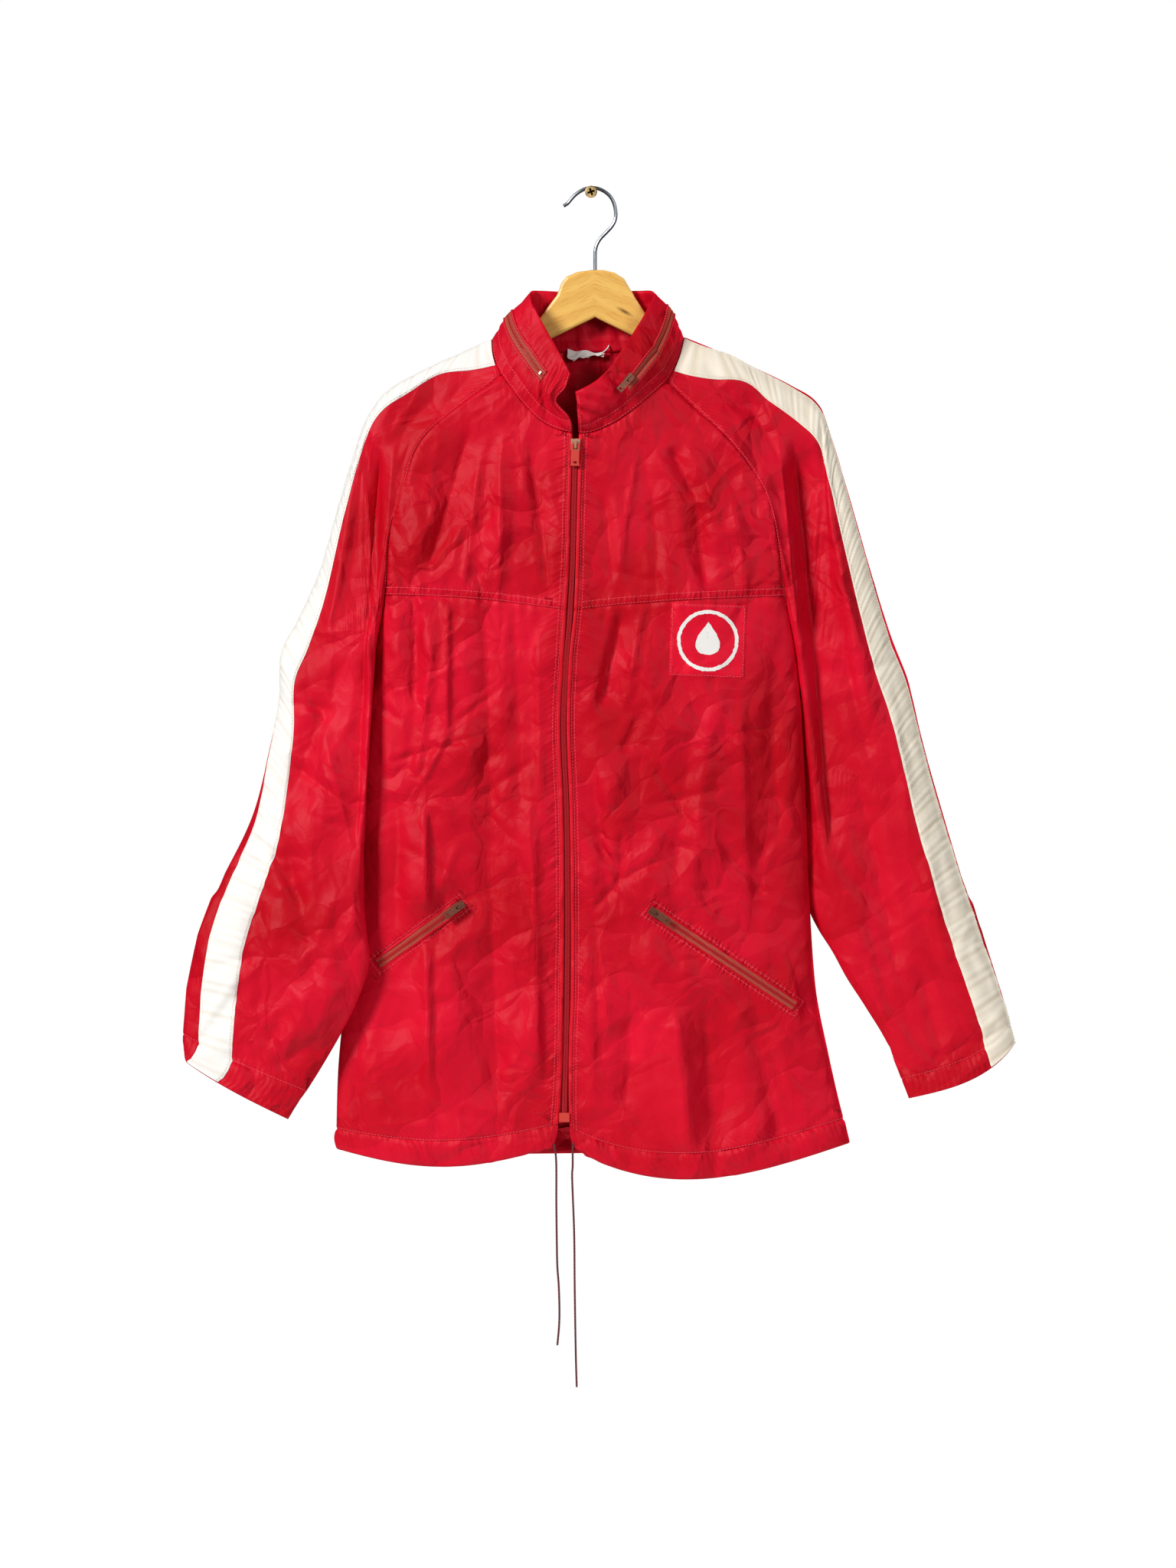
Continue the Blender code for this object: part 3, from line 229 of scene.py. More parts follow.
# ==== Fronts =====================================================================================
# Each front is two pieces of thin red nylon taffeta, a yoke and a lower front, joined by a felled
# seam over the chest. Their form is a set of sections from the zip to the side or raglan seam, with
# the folds pressed in, and the cloth is then let settle, held at its seams.
FRONT_COLUMN_NAMES = ("centre_x", "centre_z", "edge_x", "edge_z", "drop", "centre_y", "edge_y", "square")
FRONT = {
    "right": [
        # centre_x, centre_z, edge_x, edge_z, drop, centre_y, edge_y, square
        (-37, -936, -250, -938, 18, -56, -31, 2.8),    # bottom edge of the hem
        (-32, -914, -250, -919, 14, -58, -32, 2.9),    # casing stitch line
        (-28, -856, -248, -857, 6, -60, -33, 3.0),
        (-27, -781, -241, -782, 2, -63, -34, 3.2),     # pocket
        (-26, -694, -235, -694, 0, -66, -35, 3.2),     # waist
        (-27, -608, -229, -607, 0, -69, -36, 3.2),
        (-30, -526, -223, -522, 0, -71, -37, 3.0),
        (-27, -464, -214, -451, 0, -72, -40, 2.8),     # armpit
        (-24, -412, -202, -397, -4, -72, -56, 2.6),    # chest yoke seam
        (-21, -361, -198, -338, -2, -72, -60, 2.4),
        (-20, -312, -186, -293, 0, -71, -60, 2.2),
        (-19, -272, -162, -238, 3, -69, -55, 2.2),
        (-18, -238, -88, -180, 14, -66, -47, 2.2),     # neck seam
    ],
    "left": [
        (-17, -936, 254, -932, 33, -56, -31, 3.0),
        (-21, -916, 248, -909, 30, -58, -32, 3.0),
        (-22, -848, 234, -848, 15, -60, -33, 3.2),
        (-20, -781, 220, -781, 5, -63, -34, 3.4),
        (-20, -694, 214, -694, 0, -66, -35, 3.4),
        (-21, -608, 211, -607, 0, -69, -36, 3.4),
        (-24, -526, 208, -522, 0, -71, -37, 3.2),
        (-22, -464, 202, -451, 0, -72, -40, 3.0),
        (-17, -412, 190, -398, -3, -72, -56, 2.6),
        (-15, -361, 183, -342, -2, -72, -60, 2.4),
        (-14, -312, 171, -295, 0, -71, -60, 2.2),
        (-13, -272, 137, -246, 3, -69, -55, 2.2),
        (-12, -238, 74, -187, 10, -66, -47, 2.2),
    ],
}
DROP_PEAK = {"right": 0.5, "left": 0.42}    # where along a section its drop is deepest
HEM, CASING, ARMPIT, YOKE, NECK = 0, 1, 7, 8, 12
FRONT_STOPS = (HEM, CASING, YOKE, NECK)
SEAM_EDGE = (1.2, 3.0)                      # extra rows this far from a seam, for its groove
GROOVE, GROOVE_WIDE = 1.0, 1.6              # depth of the groove along a seam, and its half width
ZIP_CALM = (8, 28)                          # folds start this far from the zip edge and are full by here
YOKE_WELT, ZIP_WELT = 0.6, 0.9              # how far the cloth stands out above the yoke seam, and by the zip
ZIP_ROWS, YOKE_ROWS = (4.8, 7.8), (2.0, 8.0)    # rows of stitches from the zip edge, and above the yoke seam
FRONT_WIDE = 215                            # columns are spaced for a section of this length
CLOTH_STEP, SETTLING_STEP = 2.8, 6.5        # of the finished mesh, and of the mesh that settles

# Folds as seen from the front, each with a wall on its left and on its right. A trough pushes the
# cloth back, and a ridge has a negative depth.
FRONT_FOLDS = [
    # x0, z0, x1, z1, left wall, right wall, depth
    (-121, -238, -160, -372, 24, 20, 9),      # right yoke, a trough from the neck to the seam
    (-87, -244, -90, -396, 18, 12, -5),
    (-61, -247, -40, -396, 9, 17, 5),
    (-146, -290, -180, -380, 12, 20, -3),
    (-110, -262, -126, -388, 6, 8, -2.2),
    (-172, -404, -172, -500, 8, 12, 4),       # below the right yoke
    (-154, -425, -170, -570, 10, 9, -4),
    (-140, -402, -141, -532, 22, 5, -4),
    (-141, -532, -166, -582, 18, 5, -3),
    (-104, -412, -97, -640, 20, 18, 5),
    (-76, -416, -70, -600, 16, 22, 4),
    (-52, -440, -48, -600, 8, 10, -2.5),
    (-163, -606, -160, -712, 26, 5, -5),      # right lower pleat
    (-160, -712, -158, -860, 24, 5, -4),
    (-190, -600, -192, -780, 14, 12, 3),
    (-100, -640, -92, -900, 40, 34, 8),
    (-60, -600, -50, -880, 14, 10, -3),
    (-131, -519, -87, -486, 5, 7, 1.8),
    (-197, -559, -103, -532, 6, 6, 2.0),
    (-188, -640, -124, -676, 6, 8, 1.6),
    (-60, -560, -116, -598, 6, 7, 1.5),
    (-214, -500, -186, -520, 5, 8, 1.8),
    (-120, -600, -70, -640, 7, 9, 1.8),
    (80, -252, 104, -300, 16, 16, 7),         # left yoke
    (104, -300, 113, -384, 18, 12, 7),
    (44, -256, 24, -388, 16, 14, -4),
    (60, -300, 66, -396, 8, 10, 2.4),
    (140, -300, 152, -392, 12, 12, -3),
    (12, -300, 22, -380, 10, 10, 3),
    (20, -372, 64, -384, 6, 8, 1.6),
    (30, -414, 10, -505, 10, 20, 7),          # left, below the yoke
    (50, -410, 34, -500, 10, 8, -3),
    (53, -508, 30, -548, 7, 10, 3),
    (0, -560, 18, -700, 14, 16, 2.5),
    (60, -560, 110, -640, 6, 9, 2.2),
    (29, -675, 8, -640, 6, 7, 2.2),           # a star of creases at the waist
    (29, -675, 66, -656, 6, 7, 2.2),
    (29, -675, 60, -706, 6, 8, 2.0),
    (29, -675, 2, -704, 6, 6, 1.8),
    (29, -675, 30, -630, 6, 6, 1.8),
    (58, -601, 130, -585, 6, 8, 2.2),
    (96, -540, 78, -700, 20, 18, 3),
    (116, -500, 100, -690, 14, 16, -2),
    (146, -490, 156, -716, 24, 10, -3),
    (176, -500, 184, -640, 18, 14, 2.5),
    (130, -640, 170, -690, 6, 8, 2),
    (66, -720, 90, -760, 14, 12, 4),          # beside the left pocket
    (84, -800, 96, -944, 26, 12, -5),         # left lower pleat, to the hem's lowest point
    (112, -800, 118, -930, 16, 34, 4),
    (40, -780, 36, -900, 20, 16, 4),
    (160, -820, 186, -930, 14, 20, 4),
    (4, -720, 10, -860, 10, 14, 3),
    (56, -790, 30, -826, 6, 8, 1.8),
    (124, -290, 128, -600, 100, 40, -4),      # broad swells that turn the left front to the light
    (92, -720, 96, -930, 70, 32, -5),
    (-163, -620, -158, -930, 44, 90, -5),
]
FRONT_DEPTH = 1.6, 1.25                     # how much deeper than their table the folds are, low and high
FRONT_DEPTH_AT = -620, -440                 # the heights where they are so
FRONT_CREASES = (7, 90, -240, 220, -940, -260)    # seed, count, right, left, low, high
CREASES_SHARE = 0.8                         # depth of the packing creases beside that of the folds
SIDE_CALM = 18                              # folds end this far from the side
ZIP_HELD, YOKE_HELD, HEM_HELD = 9, 0.2, 0.3    # width held at the zip, and how firmly two seams are held
FRONT_SLACK, FRONT_MOVES = (1.035, 1.0, 1.010), 8    # cut larger by this, and may move this far
POCKET_ZIP = {                              # upper inner end and lower outer end of each, x and z
    "right": ((-129, -700), (-208, -757)),
    "left": ((61, -706), (199, -798)),
}
POCKET_BOX = 8.5                            # from the pocket zip's middle to the stitches round it


def packing_creases(seed, count, right, left, low, high):
    """Short creases left by packing: rows like those of a fold table, from a seeded draw."""
    draw = np.random.default_rng(seed)
    creases = []
    for _ in range(count):
        x, z = draw.uniform(right, left), draw.uniform(low, high)
        slope, length = math.radians(draw.uniform(-75, 75)), draw.uniform(28, 100)
        walls, depth = draw.uniform(3.6, 14, 2), draw.choice([-1, 1]) * draw.uniform(0.5, 1.5)
        creases.append((x, z, x + length * math.cos(slope), z + length * math.sin(slope), *walls, depth))
    return creases


def lengths_along(line):
    """How far along a line of points each point is."""
    return np.concatenate([[0], np.cumsum(np.linalg.norm(np.diff(line, axis=0), axis=1))])


def read_at(at, along, points):
    """Points or directions at some places on a line, from those that are known at the places along it."""
    return np.stack([np.interp(at, along, points[:, k]) for k in range(3)], axis=1)


def at_shares(points, shares):
    """Points of the same curve at these shares of its length."""
    along = lengths_along(points)
    return read_at(np.asarray(shares) * along[-1], along, points)


def fold_push(x, z, folds):
    """How far the folds push the cloth back at x, z. A fold's walls are nearly flat."""
    push = np.zeros_like(x)
    for x0, z0, x1, z1, left, right, depth in folds:
        run = np.array([x1 - x0, z1 - z0], float)
        length = np.hypot(*run)
        share = ((x - x0) * run[0] + (z - z0) * run[1]) / length ** 2
        away = ((x - x0) * run[1] - (z - z0) * run[0]) / length * (-1 if run[1] < 0 else 1)
        wall = np.clip(1 - np.abs(away) / np.where(away < 0, left, right), 0, 1)
        ends = np.clip(np.minimum(share + 0.12, 1.12 - share) / 0.3, 0, 1)
        push += depth * wall * (0.6 + 0.4 * wall) * ends * ends * (3 - 2 * ends)
    return push


def front_section(side, station, shares=None, millimetres=None):
    """Points from the zip edge to the side or raglan seam, at shares of its length or at distances."""
    row = dict(zip(FRONT_COLUMN_NAMES, along_table(FRONT[side], station)))
    turn = np.linspace(0, math.pi / 2, 161)
    reach = np.sin(turn) ** (2 / row["square"])
    lift = np.cos(turn) ** (2 / row["square"])
    skew = math.log(0.5) / math.log(DROP_PEAK[side])
    x = row["centre_x"] + (row["edge_x"] - row["centre_x"]) * reach
    z = row["centre_z"] + (row["edge_z"] - row["centre_z"]) * reach
    z = z - row["drop"] * np.sin(math.pi * reach ** skew)
    y = row["edge_y"] + (row["centre_y"] - row["edge_y"]) * lift
    curve = np.stack([x, y, z], axis=1)
    if shares is None:
        length = np.linalg.norm(np.diff(curve, axis=0), axis=1).sum()
        past_calm = (millimetres - ZIP_CALM[1]) * (length - ZIP_CALM[1])
        scaled = ZIP_CALM[1] + past_calm / (FRONT_WIDE - ZIP_CALM[1])
        shares = np.where(millimetres < ZIP_CALM[1], millimetres, scaled) / length
    return at_shares(curve, shares)


def side_edge(side, station):
    """The end of a front section: a point of the side seam or raglan seam."""
    row = dict(zip(FRONT_COLUMN_NAMES, along_table(FRONT[side], station)))
    return np.array([row["edge_x"], row["edge_y"], row["edge_z"]])


def marks_between(stops, step):
    """Places at most a step apart from the first stop to the last, with closer ones by each stop."""
    near, next_to = SEAM_EDGE
    places = []
    for start, end in zip(stops, stops[1:]):
        count = max(2, round((end - start - 2 * next_to) / step) + 1)
        places += [start, start + near, *np.linspace(start + next_to, end - next_to, count), end - near]
    return np.array([*places, stops[-1]])


def rows_by_length(curve_at, stops, step):
    """Stations for rows of cloth, and how far along the cloth each is, from a curve up its middle."""
    dense = np.linspace(stops[0], stops[-1], round(20 * (stops[-1] - stops[0])) + 1)
    along = lengths_along(np.array([curve_at(t) for t in dense]))
    places = marks_between(np.interp(stops, dense, along), step)
    return np.interp(places, along, dense), places


def outward(grid, flip, closed=False):
    """The outward direction at each point of a grid."""
    if closed:
        across = np.gradient(np.concatenate([grid[:, -1:], grid, grid[:, :1]], axis=1), axis=1)[:, 1:-1]
    else:
        across = np.gradient(grid, axis=1)
    normal = np.cross(across, np.gradient(grid, axis=0)) * (-1 if flip else 1)
    return normal / np.maximum(np.linalg.norm(normal, axis=-1, keepdims=True), 1e-9)


def grid_mesh(name, grid, flip=False, closed=False):
    """A sheet through a grid of points in millimetres."""
    rows, columns = grid.shape[:2]
    r, c = np.meshgrid(np.arange(rows - 1), np.arange(columns if closed else columns - 1), indexing="ij")
    after = (c + 1) % columns
    faces = np.stack([r * columns + c, r * columns + after, (r + 1) * columns + after,
                      (r + 1) * columns + c], axis=-1).reshape(-1, 4)
    mesh = bpy.data.meshes.new(name)
    mesh.from_pydata((grid.reshape(-1, 3) * MM).tolist(), [], (faces[:, ::-1] if flip else faces).tolist())
    mesh.update()
    mesh.shade_smooth()
    return mesh


SETTLING_FRAMES = 16
SETTLING_WEIGHT = 0.15                 # share of the cloth's weight, as its form hangs already


def settle(name, grid, held, slack, most, closed=False):
    """How far each point moves when cloth that is cut larger than its form settles, held at its seams."""
    cloth_object = bpy.data.objects.new(f"{name}_settling", grid_mesh(name, grid, closed=closed))
    bpy.context.scene.collection.objects.link(cloth_object)
    cloth_object.shape_key_add(name="hung")
    cut = cloth_object.shape_key_add(name="cut")
    cut.value = 0
    cut_points = (grid.reshape(-1, 3) * MM) * np.asarray(slack)
    cut.data.foreach_set("co", cut_points.astype(np.float32).ravel())
    group = cloth_object.vertex_groups.new(name="held")
    for index, value in enumerate(held.reshape(-1)):
        if value > 0:
            group.add([index], float(value), "REPLACE")
    cloth = cloth_object.modifiers.new("cloth", "CLOTH")
    cloth.settings.quality = 6
    cloth.settings.mass = 0.12
    cloth.settings.tension_stiffness = 20
    cloth.settings.compression_stiffness = 20
    cloth.settings.shear_stiffness = 8
    cloth.settings.bending_stiffness = 0.012
    cloth.settings.air_damping = 2
    cloth.settings.vertex_group_mass = "held"
    cloth.settings.rest_shape_key = cut
    cloth.settings.effector_weights.gravity = SETTLING_WEIGHT
    cloth.collision_settings.use_collision = False
    cloth.point_cache.frame_start = 1
    cloth.point_cache.frame_end = SETTLING_FRAMES
    for number in range(1, SETTLING_FRAMES + 1):
        bpy.context.scene.frame_set(number)
    shown = cloth_object.evaluated_get(bpy.context.evaluated_depsgraph_get())
    moved = np.empty(grid.size, np.float32)
    shown.data.vertices.foreach_get("co", moved)
    bpy.context.scene.frame_set(1)
    bpy.data.objects.remove(cloth_object)
    shift = moved.reshape(grid.shape).astype(float) / MM - grid
    far = np.linalg.norm(shift, axis=-1, keepdims=True)
    return shift * (np.tanh(far / most) * most / np.maximum(far, 1e-6))


def between(values, at, to):
    """Values known at some places, read at others on a smooth curve through them."""
    low = np.clip(np.searchsorted(at, to, side="right") - 1, 0, len(at) - 2)
    part = ((to - at[low]) / (at[low + 1] - at[low])).reshape(-1, *[1] * (values.ndim - 1))
    return smooth_between(values[np.maximum(low - 1, 0)], values[low], values[low + 1],
                          values[np.minimum(low + 2, len(values) - 1)], part)


def on_finer(field, rows, columns, finer_rows, finer_columns):
    """A field on a coarse grid, read on a finer one."""
    down = between(field, rows, finer_rows)
    return np.swapaxes(between(np.swapaxes(down, 0, 1), columns, finer_columns), 0, 1)


def smooth_step(value):
    """From 0 to 1 with no corner at either end."""
    value = np.clip(value, 0, 1)
    return value * value * (3 - 2 * value)


def seat_on_solids(grid, out, panel, trims, near=7, far=30):
    """Brings the cloth to the panel's solid beside the trims that lie on it, which don't move."""
    graph = bpy.context.evaluated_depsgraph_get()
    solid = BVHTree.FromObject(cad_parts[panel], graph)
    trees = [BVHTree.FromObject(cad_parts[name], graph) for name in trims]
    seated = np.array(grid)
    for index in np.ndindex(grid.shape[:2]):
        spot = Vector(grid[index] * MM)
        away = min(tree.find_nearest(spot)[3] for tree in trees) / MM
        if away < far:
            face = solid.find_nearest(spot + Vector(out[index] * 4 * MM))[0]
            share = smooth_step((far - away) / (far - near))
            seated[index] += (np.array(face) / MM - grid[index]) * share
    return seated


def wobble(value, *waves):
    """An uneven wave: a sum of sines, each given as its length, height and start."""
    return sum(height * np.sin(2 * math.pi * value / length + start) for length, height, start in waves)


def strongest(*seams):
    """Of several seams, each (place along it, pull), the one that pulls most at each point."""
    along, pull = np.zeros_like(seams[0][1]), np.zeros_like(seams[0][1])
    for place, strength_here in seams:
        along = np.where(strength_here > pull, place, along)
        pull = np.maximum(pull, strength_here)
    return along, pull


# The cloth's colour runs from deep to worn red. It fades towards worn red in broad patches, and the same two
# reds are the painted shade and painted highlight of its facets.
NYLON_RED, NYLON_DEEP, NYLON_FADED_AND_LIT = "CC0420", "B60012", "E20E30"
PUCKER_LENGTH = 6.2                    # from one pucker to the next along a seam
CRUMPLES = (                           # size of a facet in mm, its slope, and how it is turned and drawn out
    (84, 0.24, 0.2, 0.5), (46, 0.20, -0.9, 0.35), (26, 0.13, 0.7, 0.5), (10, 0.06, 0.0, 0.7))
SHADE_PAINTED_FACETS, PAINTED_FACET_SHADE = 46, 0.45      # facets of this size each get a shade of their own: a painted shade and painted highlight for how light falls on them
CREASED_AREA, FADED_AREA = 110, 150    # the sizes of areas that are creased more, or more faded
BENT_EVERY, BENT_BY = 70, 60           # how the facets' straight edges are bent
CLOTH_GRAIN, GRAIN_HIGH = 2.6, 0.12    # the weave, drawn coarser than real so that it shows
UNEVEN_PUCKERS = 16                    # they shift against each other in areas of this size


def nylon_taffeta(name="nylon_taffeta", deep=NYLON_DEEP, worn=NYLON_FADED_AND_LIT):
    """Thin plain-woven nylon with a water-repellent finish: a soft shine, and creases that stay where
    it was packed, which break it into facets, more in some places. Puckers run across each seam.
    It fades in broad patches. Each facet of one size is also painted its own shade between deep and
    worn red, a painted shade and painted highlight for how light falls on it."""
    material, tree, shader = new_material(name, NYLON_RED, 0.52, ior=1.53)
    shader.inputs["Specular IOR Level"].default_value = 0.11
    place = add_node(tree, "ShaderNodeTexCoord").outputs["Object"]
    bend = add_node(tree, "ShaderNodeTexNoise", Vector=place, Scale=1000 / BENT_EVERY, Detail=2.0)
    bent = add_node(tree, "ShaderNodeVectorMath", {"operation": "MULTIPLY_ADD"}, i0=bend.outputs["Color"],
                    i1=(BENT_BY * MM,) * 3, i2=place)
    patches = add_node(tree, "ShaderNodeTexNoise", Vector=place, Scale=1000 / CREASED_AREA, Detail=1.0)
    creased = add_node(tree, "ShaderNodeMapRange", Value=patches.outputs["Fac"], From__Min=0.4,
                       From__Max=0.62, To__Min=0.4, To__Max=1.0)
    height = None
    for size, slope, turn, drawn in CRUMPLES:
        turned = add_node(tree, "ShaderNodeVectorRotate", {"rotation_type": "Y_AXIS"}, Vector=bent.outputs[0],
                          Angle=turn)
        tall = add_node(tree, "ShaderNodeVectorMath", {"operation": "MULTIPLY"}, i0=turned.outputs[0],
                        i1=(1.0, 1.0, drawn))
        facets = add_node(tree, "ShaderNodeTexVoronoi", {"feature": "DISTANCE_TO_EDGE"},
                          Vector=tall.outputs[0], Scale=1000 / size)
        # Each facet of this size is painted a shade of its own: painted shade and painted highlight.
        if size == SHADE_PAINTED_FACETS:
            facet_shade_cells = add_node(tree, "ShaderNodeTexVoronoi", Vector=tall.outputs[0], Scale=1000 / size)
        rise = add_node(tree, "ShaderNodeMath", {"operation": "MULTIPLY"}, i0=facets.outputs["Distance"],
                        i1=size * slope * MM)
        height = add_node(tree, "ShaderNodeMath", {"operation": "MULTIPLY_ADD"}, i0=rise.outputs[0],
                          i1=creased.outputs["Result"], i2=height or 0.0).outputs[0]
    cloud = add_node(tree, "ShaderNodeTexNoise", Vector=place, Scale=1000 / FADED_AREA, Detail=3.0)
    faded = add_node(tree, "ShaderNodeMapRange", Value=cloud.outputs["Fac"], From__Min=0.35,
                     From__Max=0.65, To__Max=0.55)
    # Colour: fading in broad patches, plus the painted shade of each facet.
    painted_shade_and_fade = add_node(tree, "ShaderNodeMath", {"operation": "MULTIPLY_ADD"}, i0=facet_shade_cells.outputs["Color"],
                    i1=PAINTED_FACET_SHADE, i2=faded.outputs["Result"])
    colour = add_node(tree, "ShaderNodeMix", {"data_type": "RGBA"}, i0=painted_shade_and_fade.outputs[0],
                      i6=(*linear(deep), 1), i7=(*linear(worn), 1))
    tree.links.new(colour.outputs[2], shader.inputs["Base Color"])
    grain = add_node(tree, "ShaderNodeTexNoise", Vector=place, Scale=1000 / CLOTH_GRAIN, Detail=2.0)
    height = add_node(tree, "ShaderNodeMath", {"operation": "MULTIPLY_ADD"}, i0=grain.outputs["Fac"],
                      i1=GRAIN_HIGH * MM, i2=height).outputs[0]
    along = add_node(tree, "ShaderNodeAttribute", {"attribute_name": "seam_along"}).outputs["Fac"]
    pull = add_node(tree, "ShaderNodeAttribute", {"attribute_name": "seam_pull"}).outputs["Fac"]
    uneven = add_node(tree, "ShaderNodeTexNoise", Vector=place, Scale=1000 / UNEVEN_PUCKERS, Detail=1.0)
    turns = add_node(tree, "ShaderNodeMath", {"operation": "MULTIPLY"}, i0=along,
                     i1=2 * math.pi / PUCKER_LENGTH)
    phase = add_node(tree, "ShaderNodeMath", {"operation": "MULTIPLY_ADD"}, i0=uneven.outputs["Fac"],
                     i1=9.0, i2=turns.outputs[0])
    ripple = add_node(tree, "ShaderNodeMath", {"operation": "SINE"}, i0=phase.outputs[0])
    pucker = add_node(tree, "ShaderNodeMath", {"operation": "MULTIPLY"}, i0=ripple.outputs[0], i1=pull)
    height = add_node(tree, "ShaderNodeMath", {"operation": "MULTIPLY_ADD"}, i0=pucker.outputs[0],
                      i1=MM, i2=height).outputs[0]
    bump = add_node(tree, "ShaderNodeBump", Height=height, Distance=1.0)
    tree.links.new(bump.outputs["Normal"], shader.inputs["Normal"])
    return material


def add_values(mesh, **fields):
    """One number for each point of the mesh, under each name."""
    for name, values in fields.items():
        layer = mesh.attributes.new(name, "FLOAT", "POINT")
        layer.data.foreach_set("value", np.asarray(values, np.float32).ravel())


def sewn_mesh(name, grid, cloth, along=0.0, pull=0.0, flip=False, closed=False):
    """A sheet of nylon. It is puckered at each point by pull, in step with its place along the seam."""
    mesh = grid_mesh(name, grid, flip, closed)
    mesh.materials.append(cloth)
    add_values(mesh, seam_along=np.broadcast_to(along, grid.shape[:2]),
               seam_pull=np.broadcast_to(pull, grid.shape[:2]))
    return mesh


STITCH = (2.3, 0.5, 0.35)              # length, width, height
STITCH_PITCH = 3.2
stitches = {"red": [], "cream": []}    # (places, outward directions) of each row of stitches


def sew(thread, places, out):
    """Notes a row of stitches to be made when all pieces are."""
    stitches[thread].append((np.asarray(places), np.asarray(out)))


ZIP_GATHERS = ((11.0, 0.55, 0.0), (14.3, 0.5, 1.3), (29.0, 0.9, 0.4))    # length, height, start
YOKE_GATHERS = ((11.0, 0.35, 0.0), (15.7, 0.35, 2.0))
nylon = nylon_taffeta()
fronts = {}
for side in ("right", "left"):
    grids = {}
    for step in (SETTLING_STEP, CLOTH_STEP):
        stations, rows = rows_by_length(lambda t: front_section(side, t, shares=[0.5])[0], FRONT_STOPS, step)
        columns = marks_between((0, FRONT_WIDE), step)
        grid = np.array([front_section(side, t, millimetres=columns) for t in stations])
        calm = smooth_step((columns - ZIP_CALM[0]) / (ZIP_CALM[1] - ZIP_CALM[0]))
        calm = calm * smooth_step((FRONT_WIDE - columns) / SIDE_CALM)
        depth = calm * np.interp(grid[:, :, 2], FRONT_DEPTH_AT, FRONT_DEPTH)
        push = fold_push(grid[:, :, 0], grid[:, :, 2], FRONT_FOLDS)
        push += CREASES_SHARE * fold_push(grid[:, :, 0], grid[:, :, 2], packing_creases(*FRONT_CREASES))
        grid[:, :, 1] += push * depth
        grids[step] = grid, rows, columns, stations
    loose, loose_rows, loose_columns, loose_stations = grids[SETTLING_STEP]
    held = np.zeros(loose.shape[:2])
    held[:, loose_columns < ZIP_HELD] = 1
    held[:, -1] = held[-1] = 1
    held[(loose_stations > YOKE - 0.03) & (loose_stations < YOKE + 0.03)] = YOKE_HELD
    held[loose_stations <= CASING + 0.02] = HEM_HELD
    shift = settle(f"front_{side}", loose, held, FRONT_SLACK, FRONT_MOVES)
    grid, rows, columns, stations = grids[CLOTH_STEP]
    grid = grid + on_finer(shift, loose_rows, loose_columns, rows, columns)

    flip = side == "right"
    hem_at, casing_at, yoke_at, neck_at = np.interp(FRONT_STOPS, stations, rows)
    from_zip = np.broadcast_to(columns, grid.shape[:2])
    up = np.broadcast_to(rows[:, None], grid.shape[:2])
    x = grid[:, :, 0]
    gather = wobble(up + from_zip * 0.7, *ZIP_GATHERS)
    reach = 8 + wobble(up, (47.0, 3.0, 0.0), (83.0, 3.0, 1.0))
    gather = gather * smooth_step((from_zip - 5) / 4) * np.exp(-np.maximum(from_zip - 9, 0) / reach)
    grid[:, :, 1] += gather * (0.7 + wobble(up, (97.0, 0.3, 0.7), (61.0, 0.3, 2.0)))
    gather = wobble(x, *YOKE_GATHERS) * np.exp(-((up - yoke_at) / 14) ** 2)
    grid[:, :, 1] += gather * smooth_step((from_zip - 12) / 12)
    grid[:, :, 1] -= ZIP_WELT * np.sin(math.pi * np.clip(from_zip / ZIP_ROWS[0], 0, 1))
    grid[:, :, 1] -= YOKE_WELT * smooth_step((up - yoke_at) / 1.5) * smooth_step((yoke_at + 11 - up) / 3)
    out = outward(grid, flip)
    grid = seat_on_solids(grid, out, f"front_lower_{side}",
                          [f"pocket_zip_{side}", f"pocket_zip_{side}_slider"])
    seams = np.minimum(np.minimum(np.abs(up - yoke_at), np.abs(up - casing_at)),
                       np.minimum(FRONT_WIDE - from_zip, neck_at - up))
    grid -= outward(grid, flip) * (GROOVE * np.exp(-(seams / GROOVE_WIDE) ** 2))[:, :, None]
    (x0, z0), (x1, z1) = POCKET_ZIP[side]
    length = math.hypot(x1 - x0, z1 - z0)
    down_pocket = ((x - x0) * (x1 - x0) + (grid[:, :, 2] - z0) * (z1 - z0)) / length
    beside_pocket = np.abs((x - x0) * (z1 - z0) - (grid[:, :, 2] - z0) * (x1 - x0)) / length
    on_pocket = smooth_step((down_pocket + 12) / 4) * smooth_step((length + 12 - down_pocket) / 4)
    by_zip = smooth_step((from_zip - 4) / 3) * np.exp(-np.maximum(from_zip - 8, 0) / 6)
    along, pull = strongest(
        (down_pocket * 1.3, 0.5 * on_pocket * np.exp(-((beside_pocket - POCKET_BOX + 0.5) / 3.0) ** 2)),
        (up + from_zip * 0.7, 0.16 * by_zip),
        (x * 1.2, 0.30 * np.exp(-((up - yoke_at - 5) / 4) ** 2) * smooth_step((from_zip - 12) / 14)),
        (x + up, 0.16 * np.exp(-((up - casing_at - 4) / 9) ** 2)),
        (up, 0.12 * np.exp(-((FRONT_WIDE - from_zip - 3) / 6) ** 2)),
        (x, 0.14 * np.exp(-((neck_at - up - 3) / 7) ** 2)))
    fronts[side] = {"grid": grid, "rows": rows, "columns": columns, "out": outward(grid, flip),
                    "marks": (hem_at, casing_at, yoke_at, neck_at)}
    for part, keep in (("lower", (rows >= casing_at) & (rows <= yoke_at)), ("yoke", rows >= yoke_at)):
        mesh = sewn_mesh(f"front_{part}_{side}", grid[keep], nylon, along[keep], pull[keep], flip)
        piece = show(f"{part}_front_{side}", mesh, JACKET, "nylon_red", f"front_{part}_{side}")


